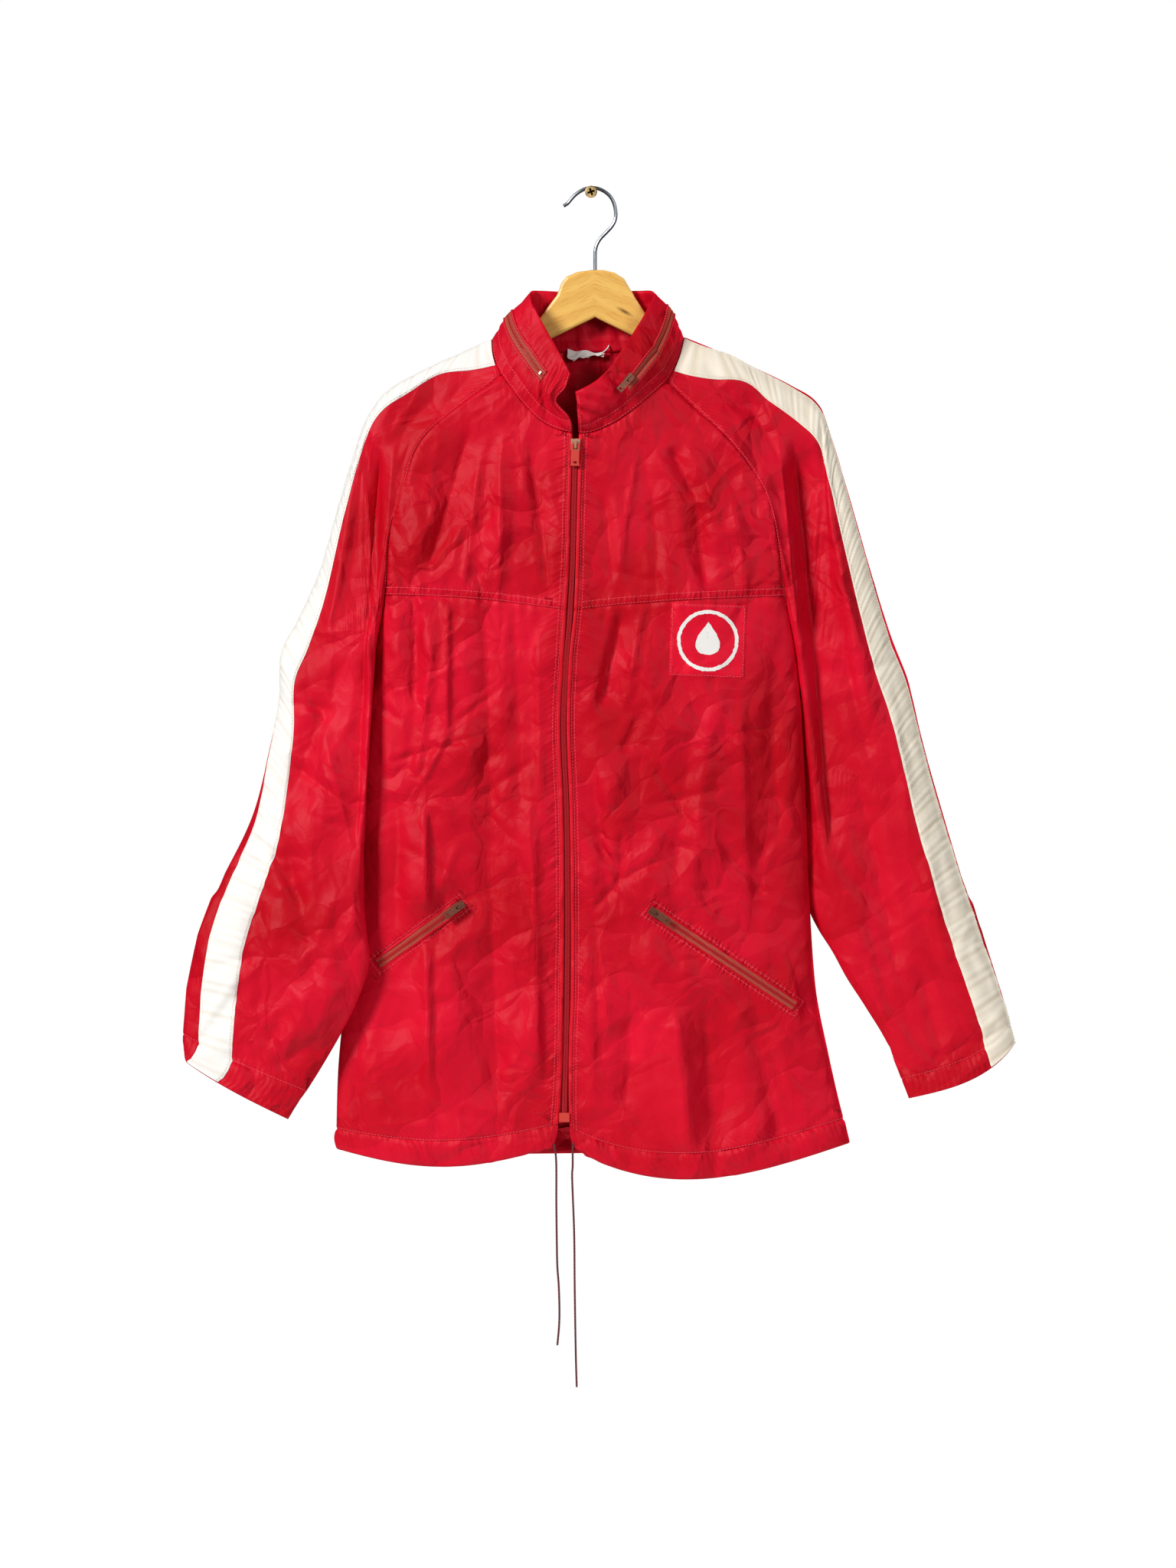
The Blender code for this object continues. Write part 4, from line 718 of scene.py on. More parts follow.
def on_cloth(sheet, up, across):
    """Points of a sheet, and its outward direction there, at distances up and across it."""
    r = np.interp(up, sheet["rows"], np.arange(len(sheet["rows"])))
    c = np.interp(across, sheet["columns"], np.arange(len(sheet["columns"])))
    low_r = np.minimum(r.astype(int), len(sheet["rows"]) - 2)
    low_c = np.minimum(c.astype(int), len(sheet["columns"]) - 2)
    part_r, part_c = (r - low_r)[:, None], (c - low_c)[:, None]
    found = []
    for field in (sheet["grid"], sheet["out"]):
        lower = field[low_r, low_c] * (1 - part_c) + field[low_r, low_c + 1] * part_c
        upper = field[low_r + 1, low_c] * (1 - part_c) + field[low_r + 1, low_c + 1] * part_c
        found.append(lower * (1 - part_r) + upper * part_r)
    return found


CASING_ROW = 1.5                       # from the casing's seam to its row of stitches
for sheet in fronts.values():
    _, casing_at, yoke_at, neck_at = sheet["marks"]
    for away in ZIP_ROWS:
        up = np.linspace(casing_at, neck_at - 1, 400)
        sew("red", *on_cloth(sheet, up, np.full(400, away)))
    across = np.linspace(ZIP_ROWS[1], FRONT_WIDE - 1, 120)
    for rise in YOKE_ROWS:
        sew("red", *on_cloth(sheet, np.full(120, yoke_at + rise), across))
    sew("red", *on_cloth(sheet, np.full(120, casing_at + CASING_ROW), across))

# ==== Back =======================================================================================
# The back is one wide piece of the same nylon, from the casing to the neck, sewn to the fronts at the
# sides and to the sleeves along its own raglan seams. It hangs nearly flat, with long soft folds.
BACK_RAGLAN = {
    "right": [
        # x, z, y
        (-204, -395, -24), (-197, -338, -17), (-183, -286, -13), (-148, -222, -12), (-82, -152, -13),
    ],
    "left": [
        (192, -395, -24), (185, -338, -17), (171, -286, -13), (137, -222, -12), (76, -151, -13),
    ],
}
BACK_Y, BACK_SQUARE = -5, 3.2
BACK_NECK_DROP, BACK_HEM_DROP = 5, 8
BACK_WIDE, BACK_CALM = 440, 24         # columns are spaced for this width, and folds end this far from it
BACK_CREASES = (11, 90, -220, 210, -930, -260)    # seed, count, right, left, low, high
BACK_SLACK, BACK_MOVES = (1.02, 1.0, 1.008), 5    # cut larger by this, and may move this far
BACK_OUT = 3.0                         # but towards the wall no further than this
BACK_FOLDS = [
    # x0, z0, x1, z1, left wall, right wall, depth
    (-110, -260, -120, -620, 30, 26, 4),
    (60, -300, 90, -700, 34, 24, 4),
    (-20, -420, -10, -880, 30, 30, 4),
    (-160, -520, -150, -880, 18, 24, 5),
    (150, -420, 160, -860, 24, 18, 5),
    (10, -240, 20, -420, 16, 20, 3),
    (-60, -600, -70, -900, 18, 14, -3),
    (110, -700, 104, -910, 16, 20, 4),
    (-90, -420, 30, -440, 10, 12, 2),
    (-120, -700, 0, -660, 10, 8, 2),
    (30, -560, 150, -520, 9, 12, 2),
]


def back_edge(side, station):
    """A point of the back's own edge: the side seam below the armpit, its raglan seam above."""
    if station <= ARMPIT:
        return side_edge(side, station)
    armpit_x, armpit_y, armpit_z = side_edge(side, ARMPIT)
    x, z, y = along_table([(armpit_x, armpit_z, armpit_y)] + BACK_RAGLAN[side], station - ARMPIT)
    return np.array([x, y, z])


def back_section(station, shares):
    """Points from the right seam round the back to the left seam."""
    right, left = back_edge("right", station), back_edge("left", station)
    turn = np.linspace(0, math.pi, 321)
    reach = (1 - np.sign(np.cos(turn)) * np.abs(np.cos(turn)) ** (2 / BACK_SQUARE)) / 2
    base = right + (left - right) * reach[:, None]
    base[:, 1] += (BACK_Y - base[:, 1]) * np.sin(turn) ** (2 / BACK_SQUARE)
    neck = max(0, station - NECK + 1)
    hem = max(0, 2 - station) / 2
    base[:, 2] -= (BACK_NECK_DROP * neck + BACK_HEM_DROP * hem) * np.sin(turn)
    return at_shares(base, shares)


grids = {}
for step in (SETTLING_STEP, CLOTH_STEP):
    stations, rows = rows_by_length(lambda t: back_section(t, [0.5])[0], FRONT_STOPS, step)
    columns = marks_between((0, BACK_WIDE), step)
    grid = np.array([back_section(t, columns / BACK_WIDE) for t in stations])
    calm = smooth_step(np.minimum(columns, BACK_WIDE - columns) / BACK_CALM)
    creases = packing_creases(*BACK_CREASES)
    grid[:, :, 1] -= fold_push(grid[:, :, 0], grid[:, :, 2], BACK_FOLDS + creases) * calm
    grids[step] = grid, rows, columns, stations
loose, loose_rows, loose_columns, loose_stations = grids[SETTLING_STEP]
held = np.zeros(loose.shape[:2])
held[:, 0] = held[:, -1] = held[-1] = 1
held[loose_stations <= CASING + 0.02] = HEM_HELD
shift = settle("back", loose, held, BACK_SLACK, BACK_MOVES)
shift[:, :, 1] = np.minimum(shift[:, :, 1], BACK_OUT)
grid, rows, columns, stations = grids[CLOTH_STEP]
grid = grid + on_finer(shift, loose_rows, loose_columns, rows, columns)
hem_at, casing_at, _, neck_at = np.interp(FRONT_STOPS, stations, rows)
up = np.broadcast_to(rows[:, None], grid.shape[:2])
from_seam = np.broadcast_to(np.minimum(columns, BACK_WIDE - columns), grid.shape[:2])
seams = np.minimum(np.minimum(from_seam, np.abs(up - casing_at)), neck_at - up)
grid -= outward(grid, True) * (GROOVE * np.exp(-(seams / GROOVE_WIDE) ** 2))[:, :, None]
along, pull = strongest(
    (grid[:, :, 0] + up, 0.16 * np.exp(-((up - casing_at - 4) / 9) ** 2)),
    (up, 0.22 * np.exp(-((from_seam - 3) / 6) ** 2)),
    (grid[:, :, 0], 0.25 * np.exp(-((neck_at - up - 3) / 7) ** 2)))
back = {"grid": grid, "rows": rows, "columns": columns, "out": outward(grid, True),
        "marks": (hem_at, casing_at)}
keep = rows >= casing_at
mesh = sewn_mesh("back_cloth", grid[keep], nylon, along[keep], pull[keep], flip=True)
piece = show("back_panel", mesh, JACKET, "nylon_red", "back")
across = np.linspace(2, BACK_WIDE - 2, 240)
sew("red", *on_cloth(back, np.full(240, casing_at + CASING_ROW), across))

# ==== Hem casing =================================================================================
# The bottom edge is turned up 21 mm all round and stitched, which makes the tube that the cord runs
# in. It is open beside the zip, and the cord gathers it a little.
CASING_ROWS = 9
CASING_PUFF = 1.1                      # how far its middle stands out over the cord
CASING_INSIDE = 2.4                    # from the outer layer to the turned-up one
CASING_WAVES = ((13.0, 0.22, 0.5), (21.0, 0.4, 1.0), (43.0, 0.6, 0.0), (71.0, 0.5, 0.4))


def casing_rows(sheet):
    """Rows of a sheet's cloth from its casing stitch line down to the bottom edge."""
    hem_at, casing_at = sheet["marks"][:2]
    wanted = np.linspace(casing_at, hem_at, CASING_ROWS)
    at_rows = [np.full(len(sheet["columns"]), up) for up in wanted]
    return [np.array([on_cloth(sheet, up, sheet["columns"])[k] for up in at_rows]) for k in (0, 1)]


strips = [casing_rows(fronts["right"]), casing_rows(back), casing_rows(fronts["left"])]
outer = np.concatenate([strips[0][0][:, :-1], strips[1][0], strips[2][0][:, ::-1][:, 1:]], axis=1)
lifted = np.concatenate([strips[0][1][:, :-1], strips[1][1], strips[2][1][:, ::-1][:, 1:]], axis=1)
round_hem = lengths_along(outer[-1])
share = np.linspace(0, 1, CASING_ROWS)[:, None]
by_ends = smooth_step(np.minimum(round_hem, round_hem[-1] - round_hem) / 26)
puff = CASING_PUFF + wobble(round_hem[None] + share * 9, *CASING_WAVES)
swell = np.sin(math.pi * share ** 0.8) * (0.2 + 0.8 * by_ends) * puff
outer = outer + lifted * swell[:, :, None]
inner = outer[::-1] - lifted[::-1] * (CASING_INSIDE + swell[::-1])[:, :, None]
casing = np.concatenate([outer, outer[-1:] - lifted[-1:] * CASING_INSIDE / 2 + [0, 0, -0.8], inner])
pull = 0.16 * np.exp(-np.linspace(0, 3.4, len(casing))[:, None] ** 2)
slant = round_hem + np.linspace(0, 12, len(casing))[:, None]
mesh = sewn_mesh("casing_cloth", casing, nylon, slant, pull, flip=True)
piece = show("casing", mesh, JACKET, "nylon_red", "hem_casing")

# ==== Sleeves and cuffs ==========================================================================
# Each raglan sleeve is a nylon tube from the neck to the wrist, seamed under the arm. The shoulder
# lies over the hanger's arm, and the rest hangs limp. The cuff is a turned hem with one stitch row.
SHOULDER_POINT = {"right": (-97, -144, -25), "left": (91, -142, -25)}    # x, z, y where it meets the collar
RING_SHARES = (0, 0.025, 0.07, 0.16, 0.28, 0.41, 0.55, 0.69, 0.82, 0.93, 1)
HALF_RING = len(RING_SHARES) - 1
NECK_STEPS, NECK_BULGE = 3, 3
RING_ROUND, BOW_SKEW = 0.75, 0.8
CUFF_START, CUFF_END = 15.6, 16
SLEEVE_COLUMNS = ("out_x", "out_z", "out_y", "in_x", "in_z", "in_y", "bow", "front", "back")
SLEEVE = {
    "right": [
        # over-arm x, z, y | underarm x, z, y | bow, depth in front, depth behind
        (-129, -160, -23, -215, -460, -48, 26, 24, 17),
        (-168, -178, -23, -216, -472, -56, 20, 26, 17),
        (-200, -197, -23, -217, -488, -62, 12, 27, 17),
        (-220, -225, -25, -218, -507, -66, 6, 26, 17),
        (-239, -271, -27, -219, -530, -69, 2, 25, 17),
        (-256, -323, -30, -220, -556, -72, 0, 24, 17),
        (-269, -372, -31, -221, -586, -74, 0, 22, 16),
        (-290, -419, -32, -222, -620, -75, 0, 20, 15),
        (-307, -451, -34, -223, -646, -76, 0, 20, 15),
        (-310, -496, -35, -223, -672, -76, 0, 20, 15),
        (-322, -552, -36, -223, -698, -76, 0, 20, 15),
        (-337, -612, -38, -221, -724, -76, 0, 20, 15),
        (-365, -672, -39, -218, -754, -75, 0, 20, 15),
        (-386, -728, -40, -228, -788, -71, 0, 19, 15),
        (-397, -781, -41, -250, -832, -63, 1, 18, 14),
        (-401, -850, -42, -296, -909, -55, 3, 15, 12),
    ],
    "left": [
        (125, -156, -23, 202, -460, -40, 24, 24, 17),
        (160, -172, -23, 203, -472, -37, 19, 27, 16),
        (197, -190, -23, 204, -488, -34, 12, 29, 15),
        (223, -208, -25, 206, -507, -31, 6, 29, 15),
        (241, -248, -27, 205.5, -530, -28, 2, 28, 14),
        (259, -304, -29, 208, -560, -26, 0, 27, 14),
        (277, -364, -30, 207.5, -593, -25, 0, 26, 14),
        (298, -432, -31, 208, -627, -25, 0, 25, 14),
        (315, -477, -32, 209.5, -661, -25, 0, 24, 14),
        (328, -526, -33, 212, -697, -26, 0, 23, 14),
        (342, -578, -34, 222, -721, -28, 0, 22, 14),
        (356, -627, -35, 237, -745, -31, 0, 21, 14),
        (370, -674, -36, 251, -771, -34, 1, 20, 14),
        (387, -728, -37, 269, -799, -37, 4, 19, 14),
        (402, -779, -38, 290, -835, -39, 8, 18, 14),
        (415, -835, -40, 311, -889, -41, 12, 15, 12),
    ],
}
SLEEVE_FOLDS = {
    "right": [
        # x0, z0, x1, z1, left wall, right wall, depth
        (-208, -256, -224, -440, 36, 14, 22),      # the valley beside the raglan seam
        (-224, -440, -232, -640, 34, 12, 17),
        (-238, -300, -262, -430, 12, 14, -4),
        (-250, -470, -300, -600, 20, 24, 6),
        (-286, -482, -262, -520, 10, 12, 4),       # creases at the elbow
        (-300, -500, -252, -508, 9, 8, 3),
        (-296, -560, -240, -600, 8, 9, 3.5),
        (-262, -540, -236, -640, 12, 9, -3.5),
        (-318, -640, -282, -700, 8, 14, 4),
        (-300, -640, -268, -780, 16, 20, 6),
        (-250, -690, -286, -760, 10, 12, -3.5),
        (-330, -700, -350, -800, 14, 16, 4),
        (-300, -800, -330, -860, 12, 12, 3.5),
        (-276, -780, -300, -840, 9, 12, -3),
        (-150, -196, -200, -250, 12, 16, 4),
        (-116, -178, -150, -220, 10, 12, 3),
    ],
    "left": [
        (200, -256, 220, -440, 14, 44, 23),
        (220, -440, 236, -640, 12, 40, 17),
        (232, -300, 262, -430, 14, 10, -4),
        (150, -196, 186, -262, 16, 10, 4),
        (112, -170, 150, -214, 12, 8, 3),
        (250, -450, 276, -560, 14, 14, 5),
        (262, -560, 300, -760, 22, 16, 7),
        (240, -650, 280, -700, 10, 10, 3.5),
        (300, -520, 316, -600, 12, 9, -3),
        (330, -640, 350, -760, 14, 12, -4),
        (268, -700, 300, -820, 12, 14, 4),
        (322, -760, 344, -850, 12, 14, 4),
        (296, -800, 318, -860, 10, 8, -2.5),
        (236, -560, 290, -584, 8, 9, 3),
        (246, -480, 300, -460, 8, 9, 2.5),
    ],
}
SLEEVE_DEPTH = 1.15                    # how much deeper the sleeves' folds are than their table says
SLEEVE_CREASES = {                     # seed, count, right, left, low, high
    "right": (23, 46, -400, -230, -880, -300),
    "left": (31, 46, 220, 390, -880, -300),
}
SEED_BEHIND = 41                       # for the creases behind
SLEEVE_SLACK, SLEEVE_MOVES = (1.02, 1.0, 1.03), 8    # cut larger by this, and may move this far
CUFF_HELD, SHOULDER_HELD = (16, 0.6), (160, 0.8)     # lengths that are held, and how firmly
RING_STEPS, LOOSE_RING_STEPS = 56, 26  # along half a ring, in the finished mesh and the settling one
SEAM_ALLOWANCE, ALLOWANCE_SUNK = 6, 3.0    # of the sleeve, under the edges of the front and back
RAGLAN_ROW = 2.2                       # from the raglan seam to its row of stitches


def neckline(side, behind, share):
    """Points from the shoulder point down to the top of the front or back raglan seam."""
    x, z, y = SHOULDER_POINT[side]
    start = np.array([x, y, z], float)
    end = back_edge(side, NECK) if behind else side_edge(side, NECK)
    share = np.asarray(share)[:, None]
    bulge = np.array([NECK_BULGE if side == "left" else -NECK_BULGE, 0, 0]) * np.sin(math.pi * share)
    return start + (end - start) * share + bulge


def seam_half(side, behind, places):
    """Half of the sleeve's first ring, along the neckline and one raglan seam. Places run 0 to HALF_RING."""
    neck = places <= NECK_STEPS
    down = NECK - (places[~neck] - NECK_STEPS) / (HALF_RING - NECK_STEPS) * (NECK - ARMPIT)
    edge = back_edge if behind else side_edge
    return np.concatenate([neckline(side, behind, places[neck] / NECK_STEPS),
                           np.array([edge(side, t) for t in down])])


def table_half(side, number, behind, places):
    """Half of ring number, from the over-arm line to the underarm seam."""
    row = dict(zip(SLEEVE_COLUMNS, SLEEVE[side][number - 1]))
    out = np.array([row["out_x"], row["out_y"], row["out_z"]], float)
    chord = np.array([row["in_x"], row["in_y"], row["in_z"]]) - out
    away = np.array([chord[2], 0, -chord[0]]) if side == "right" else np.array([-chord[2], 0, chord[0]])
    away /= np.linalg.norm(away)
    turn = np.linspace(0, math.pi, 121)
    share = (1 - np.cos(turn)) / 2
    base = out + chord * share[:, None] + away * (row["bow"] * np.sin(math.pi * share ** BOW_SKEW))[:, None]
    depth = row["back"] if behind else -row["front"]
    base[:, 1] += depth * np.sin(turn) ** RING_ROUND
    return at_shares(base, np.interp(places, range(HALF_RING + 1), RING_SHARES))


def sleeve_ring(side, number, places):
    """A whole ring: down the front from the over-arm line, and up again behind."""
    half = [seam_half(side, behind, places) if number == 0 else table_half(side, number, behind, places)
            for behind in (False, True)]
    return np.concatenate([half[0], half[1][1:-1][::-1]])


sleeves = {}
for side in ("right", "left"):
    flip = side == "right"
    grids = {}
    for step, ring_steps in ((SETTLING_STEP * 1.3, LOOSE_RING_STEPS), (CLOTH_STEP, RING_STEPS)):
        places = np.linspace(0, HALF_RING, ring_steps + 1)
        rings = np.array([sleeve_ring(side, n, places) for n in range(len(SLEEVE[side]) + 1)])
        stations, rows = rows_by_length(lambda t: along_table(rings[:, 2], t),
                                        (0, CUFF_START, CUFF_END), step)
        grid = np.array([along_table(rings, t) for t in stations])
        turn = np.concatenate([places, HALF_RING * 2 - places[1:-1][::-1]]) / HALF_RING * math.pi
        front = np.clip(np.sin(turn), 0, 1) ** 0.7
        calm = smooth_step(rows / 10) * smooth_step((rows[-1] - rows) / 22)
        creases = packing_creases(*SLEEVE_CREASES[side])
        push = fold_push(grid[:, :, 0], grid[:, :, 2], SLEEVE_FOLDS[side] + creases) * front * SLEEVE_DEPTH
        creases = packing_creases(SEED_BEHIND, *SLEEVE_CREASES[side][1:])
        push -= fold_push(grid[:, :, 0], grid[:, :, 2], creases) * np.clip(-np.sin(turn), 0, 1) ** 0.7
        grid[:, :, 1] += push * calm[:, None]
        grids[step] = grid, rows, turn, stations
    (loose, loose_rows, loose_turn, _), (grid, rows, turn, stations) = grids.values()
    held = np.zeros(loose.shape[:2])
    held[0] = held[-1] = 1
    held[loose_rows > loose_rows[-1] - CUFF_HELD[0]] = CUFF_HELD[1]
    on_shoulder = (loose_rows < SHOULDER_HELD[0])[:, None] & (np.cos(loose_turn) > 0.8)[None]
    held[on_shoulder] = SHOULDER_HELD[1]
    shift = settle(f"sleeve_{side}", loose, held, SLEEVE_SLACK, SLEEVE_MOVES, closed=True)
    shift = np.concatenate([shift, shift[:, :1]], axis=1)
    loose_turn = np.append(loose_turn, 2 * math.pi)
    grid = grid + on_finer(shift, loose_rows, loose_turn, rows, turn)
    out = outward(grid, flip, closed=True)
    grid = seat_on_solids(grid, out, f"sleeve_{side}", [f"cuff_zip_{side}", f"cuff_zip_{side}_slider"], 4, 16)
    cuff_at = np.interp(CUFF_START, stations, rows)
    up = np.broadcast_to(rows[:, None], grid.shape[:2])
    reach = np.concatenate([np.zeros((len(grid), 1)), np.cumsum(np.linalg.norm(
        np.diff(grid, axis=1), axis=2), axis=1)], axis=1)
    underarm = np.abs(reach - reach[:, RING_STEPS:RING_STEPS + 1])
    seams = np.minimum(np.minimum(up, np.abs(up - cuff_at)), underarm)
    out = outward(grid, flip, closed=True)
    grid = grid - out * (GROOVE * 0.8 * np.exp(-(seams / GROOVE_WIDE) ** 2))[:, :, None]
    along, pull = strongest((reach, 0.12 * np.exp(-((up - 3) / 7) ** 2)),
                            (reach, 0.18 * np.exp(-((up - cuff_at) / 8) ** 2)),
                            (up, 0.14 * np.exp(-(underarm / 7) ** 2)))
    sleeves[side] = {"grid": grid, "rows": rows, "turn": turn, "out": outward(grid, flip, closed=True),
                     "stations": stations, "cuff_at": cuff_at}
    body = rows <= cuff_at
    to_body = SEAM_ALLOWANCE if side == "right" else -SEAM_ALLOWANCE
    allowance = grid[:1] + np.stack([np.full(len(turn), to_body), ALLOWANCE_SUNK * np.sign(np.sin(turn)),
                                     np.full(len(turn), -1.0)], axis=-1)
    cloth = np.concatenate([allowance, grid[body]])
    mesh = sewn_mesh(f"sleeve_cloth_{side}", cloth, nylon, np.concatenate([along[:1], along[body]]),
                     np.concatenate([pull[:1], pull[body]]), flip, closed=True)
    piece = show(f"raglan_sleeve_{side}", mesh, JACKET, "nylon_red", f"sleeve_{side}")

    cuff = grid[rows >= cuff_at]
    cuff_out = sleeves[side]["out"][rows >= cuff_at]
    turned = np.concatenate([cuff, cuff[-1:] - cuff_out[-1:] * 0.7, (cuff - cuff_out * 1.4)[::-1]])
    round_cuff = np.concatenate([reach[rows >= cuff_at], reach[-1:], reach[rows >= cuff_at][::-1]])
    mesh = sewn_mesh(f"cuff_cloth_{side}", turned, nylon, round_cuff, 0.16, flip, closed=True)
    piece = show(f"turned_cuff_{side}", mesh, JACKET, "nylon_red", f"cuff_{side}")


def on_sleeve(sheet, up, forward):
    """Points of a sleeve and their outward directions, so far down it and forward of the over-arm line."""
    r = np.interp(up, sheet["rows"], np.arange(len(sheet["rows"])))
    places, directions = [], []
    for at, ahead in zip(r, np.broadcast_to(forward, r.shape)):
        low = min(int(at), len(sheet["rows"]) - 2)
        part = at - low
        ring = sheet["grid"][low] * (1 - part) + sheet["grid"][low + 1] * part
        out = sheet["out"][low] * (1 - part) + sheet["out"][low + 1] * part
        half = len(ring) // 2
        order = np.concatenate([np.arange(-half, 0), np.arange(half + 1)])
        line = ring[order]
        far = lengths_along(line)
        where = far[half] + ahead
        places.append([np.interp(where, far, line[:, k]) for k in range(3)])
        directions.append([np.interp(where, far, out[order][:, k]) for k in range(3)])
    return np.array(places), np.array(directions)


for sheet in sleeves.values():
    near_seam, near_out = [on_finer(sheet[field], sheet["rows"], sheet["turn"], np.array([RAGLAN_ROW]),
                                    sheet["turn"])[0] for field in ("grid", "out")]
    for part in (slice(2, RING_STEPS), slice(RING_STEPS + 1, None)):
        sew("red", near_seam[part], near_out[part])
    row = np.searchsorted(sheet["rows"], sheet["cuff_at"]) - 1
    sew("red", sheet["grid"][row], sheet["out"][row])

# ==== Arm tapes ==================================================================================
# One broad woven polyester tape runs down each sleeve, from the collar over the shoulder to the cuff.
# It is stitched along both edges before the sleeve is closed, which puckers it from side to side.
TAPE_WIDE = 38
TAPE_STEP, TAPE_COLUMNS = 1.7, 15      # of its mesh, along it and across
TAPE_LIFT = 0.9                        # over the sleeve's cloth
TAPE_AT = {                            # station, and its middle forward of the over-arm line
    "right": ((0, 12), (2, 10), (4, 8), (7, 14), (10, 24), (13, 34), (16, 44)),
    "left": ((0, 20), (2, 26), (4, 30), (7, 30), (10, 27), (13, 24), (16, 20)),
}
TAPE_COLOURS = {"right": ("FBF9F6", "ECE6DC"), "left": ("FAF1E0", "E6D8C0")}
TAPE_RIB = 1.1                         # ribs across the tape, drawn as coarse as they need to show
TAPE_PUCKERS = ((7.1, 0.15, 0.0), (9.7, 0.17, 2.1), (23.0, 0.16, 0.6))    # length, height, start


def ribbed_tape(side):
    """Woven polyester tape: matte, with fine ribs across it, gone cream with age in patches, and painted a
    darker cream in the dips of its puckers as painted shade.
    """
    light, dark = TAPE_COLOURS[side]
    material, tree, shader = new_material(f"ribbed_tape_{side}", light, 0.62)
    place = add_node(tree, "ShaderNodeTexCoord").outputs["Object"]
    along = add_node(tree, "ShaderNodeAttribute", {"attribute_name": "tape_along"}).outputs["Fac"]
    dip = add_node(tree, "ShaderNodeAttribute", {"attribute_name": "tape_dip"}).outputs["Fac"]
    spots = add_node(tree, "ShaderNodeTexNoise", Vector=place, Scale=1000 / 30, Detail=3.0)
    aged_and_shaded = add_node(tree, "ShaderNodeMath", {"operation": "MULTIPLY_ADD"}, i0=spots.outputs["Fac"],
                    i1=0.5, i2=dip)
    colour = add_node(tree, "ShaderNodeMix", {"data_type": "RGBA"}, i0=aged_and_shaded.outputs[0],
                      i6=(*linear(light), 1), i7=(*linear(dark), 1))
    tree.links.new(colour.outputs[2], shader.inputs["Base Color"])
    turn = add_node(tree, "ShaderNodeMath", {"operation": "MULTIPLY"}, i0=along, i1=2 * math.pi / TAPE_RIB)
    rib = add_node(tree, "ShaderNodeMath", {"operation": "SINE"}, i0=turn.outputs[0])
    bump = add_node(tree, "ShaderNodeBump", Height=rib.outputs[0], Distance=0.03 * MM)
    tree.links.new(bump.outputs["Normal"], shader.inputs["Normal"])
    return material


for side, sheet in sleeves.items():
    rows = np.arange(1.0, sheet["rows"][-1] - 0.5, TAPE_STEP)
    stations = np.interp(rows, sheet["rows"], sheet["stations"])
    knots = np.array(TAPE_AT[side], float)
    middle = np.interp(stations, knots[:, 0], knots[:, 1])
    offsets = np.linspace(-TAPE_WIDE / 2, TAPE_WIDE / 2, TAPE_COLUMNS)
    sides = np.array([1 - (off / (TAPE_WIDE / 2)) ** 4 for off in offsets])
    places, out = zip(*[on_sleeve(sheet, rows, middle + off) for off in offsets])
    grid, out = np.stack(places, axis=1), np.stack(out, axis=1)
    out /= np.linalg.norm(out, axis=-1, keepdims=True)
    slanted = rows[:, None] + offsets * 0.12
    pucker = wobble(slanted, *TAPE_PUCKERS)
    # The dips of the puckers are painted a darker cream: painted shade.
    dip = smooth_step(0.25 - pucker)
    lift = TAPE_LIFT + 0.5 + np.maximum(pucker, -1.1) * (0.45 + 0.55 * sides)
    lift[:, 0] = lift[:, -1] = 0.35
    grid = grid + out * lift[:, :, None]
    mesh = grid_mesh(f"tape_cloth_{side}", grid, flip=side == "right")
    mesh.materials.append(ribbed_tape(side))
    add_values(mesh, tape_along=np.broadcast_to(rows[:, None], grid.shape[:2]), tape_dip=dip)
    piece = show(f"woven_arm_tape_{side}", mesh, JACKET, "tape_white", f"arm_tape_{side}")
    for column in (1, -2):
        sew("cream", grid[:, column], out[:, column])

# ==== Collar =====================================================================================
# The stand collar is two layers of nylon, about 58 mm high, with a thin hood rolled up in it. That
# pads it unevenly. It is sewn round the neck seam, and its front ends stand open over the zip.
COLLAR_TOP = [
    # place round the neckline from the right front end (0) to the left one (1), x, z, y of the top edge
    (0.00, -21, -182, -82),
    (0.05, -24, -174, -79),
    (0.12, -33, -157, -72),
    (0.20, -48, -130, -62),
    (0.26, -59, -109, -48),
    (0.32, -60, -99, -34),
    (0.38, -50, -97, -15),
    (0.50, -3, -99, -8),
    (0.62, 46, -97, -15),
    (0.68, 62, -99, -34),
    (0.74, 58, -112, -48),
    (0.80, 46, -133, -60),
    (0.88, 30, -158, -70),
    (0.94, 16, -178, -77),
    (0.97, 2, -190, -80),
    (1.00, -15, -199, -82),
]
COLLAR_EDGE, COLLAR_BELLY, COLLAR_OUT = 1.6, 5.0, 4
COLLAR_COLUMNS, COLLAR_RISES = 190, 24
COLLAR_ZIP = ((54, 0.57), (142, 0.52), (358, 0.57), (452, 0.44))    # place along the neck seam, and height
COLLAR_LOOSE, COLLAR_CURL = 62, 14     # length of its crumpled front ends, and how far the right one curls
COLLAR_BAND = 0.2                      # height of the row of stitches above the neck seam
COLLAR_LUMPS = ((31.0, 0.5, 0.5), (17.0, 0.3, 2.0))    # length, height, start
COLLAR_CREASES = ((23.0, 1.1, 0.0), (14.0, 0.8, 0.7), (37.0, 0.9, 2.0))


def collar_zip_rise(place):
    """Height of the collar's zip, as a share of the collar, at a distance along the neck seam."""
    return np.interp(place, *np.array(COLLAR_ZIP).T)


def neck_seam():
    """The whole neck seam, from the right front end round the back to the left one."""
    line = []
    steps = np.linspace(0, 1, 9)
    for side in ("right", "left"):
        front = front_section(side, NECK, shares=np.linspace(0, 1, 33))
        around = np.concatenate([front, neckline(side, False, steps)[::-1][1:],
                                 neckline(side, True, steps)[1:]])
        line.append(around if side == "right" else around[::-1])
    return np.concatenate([line[0], back_section(NECK, np.linspace(0, 1, 49))[1:-1], line[1]])


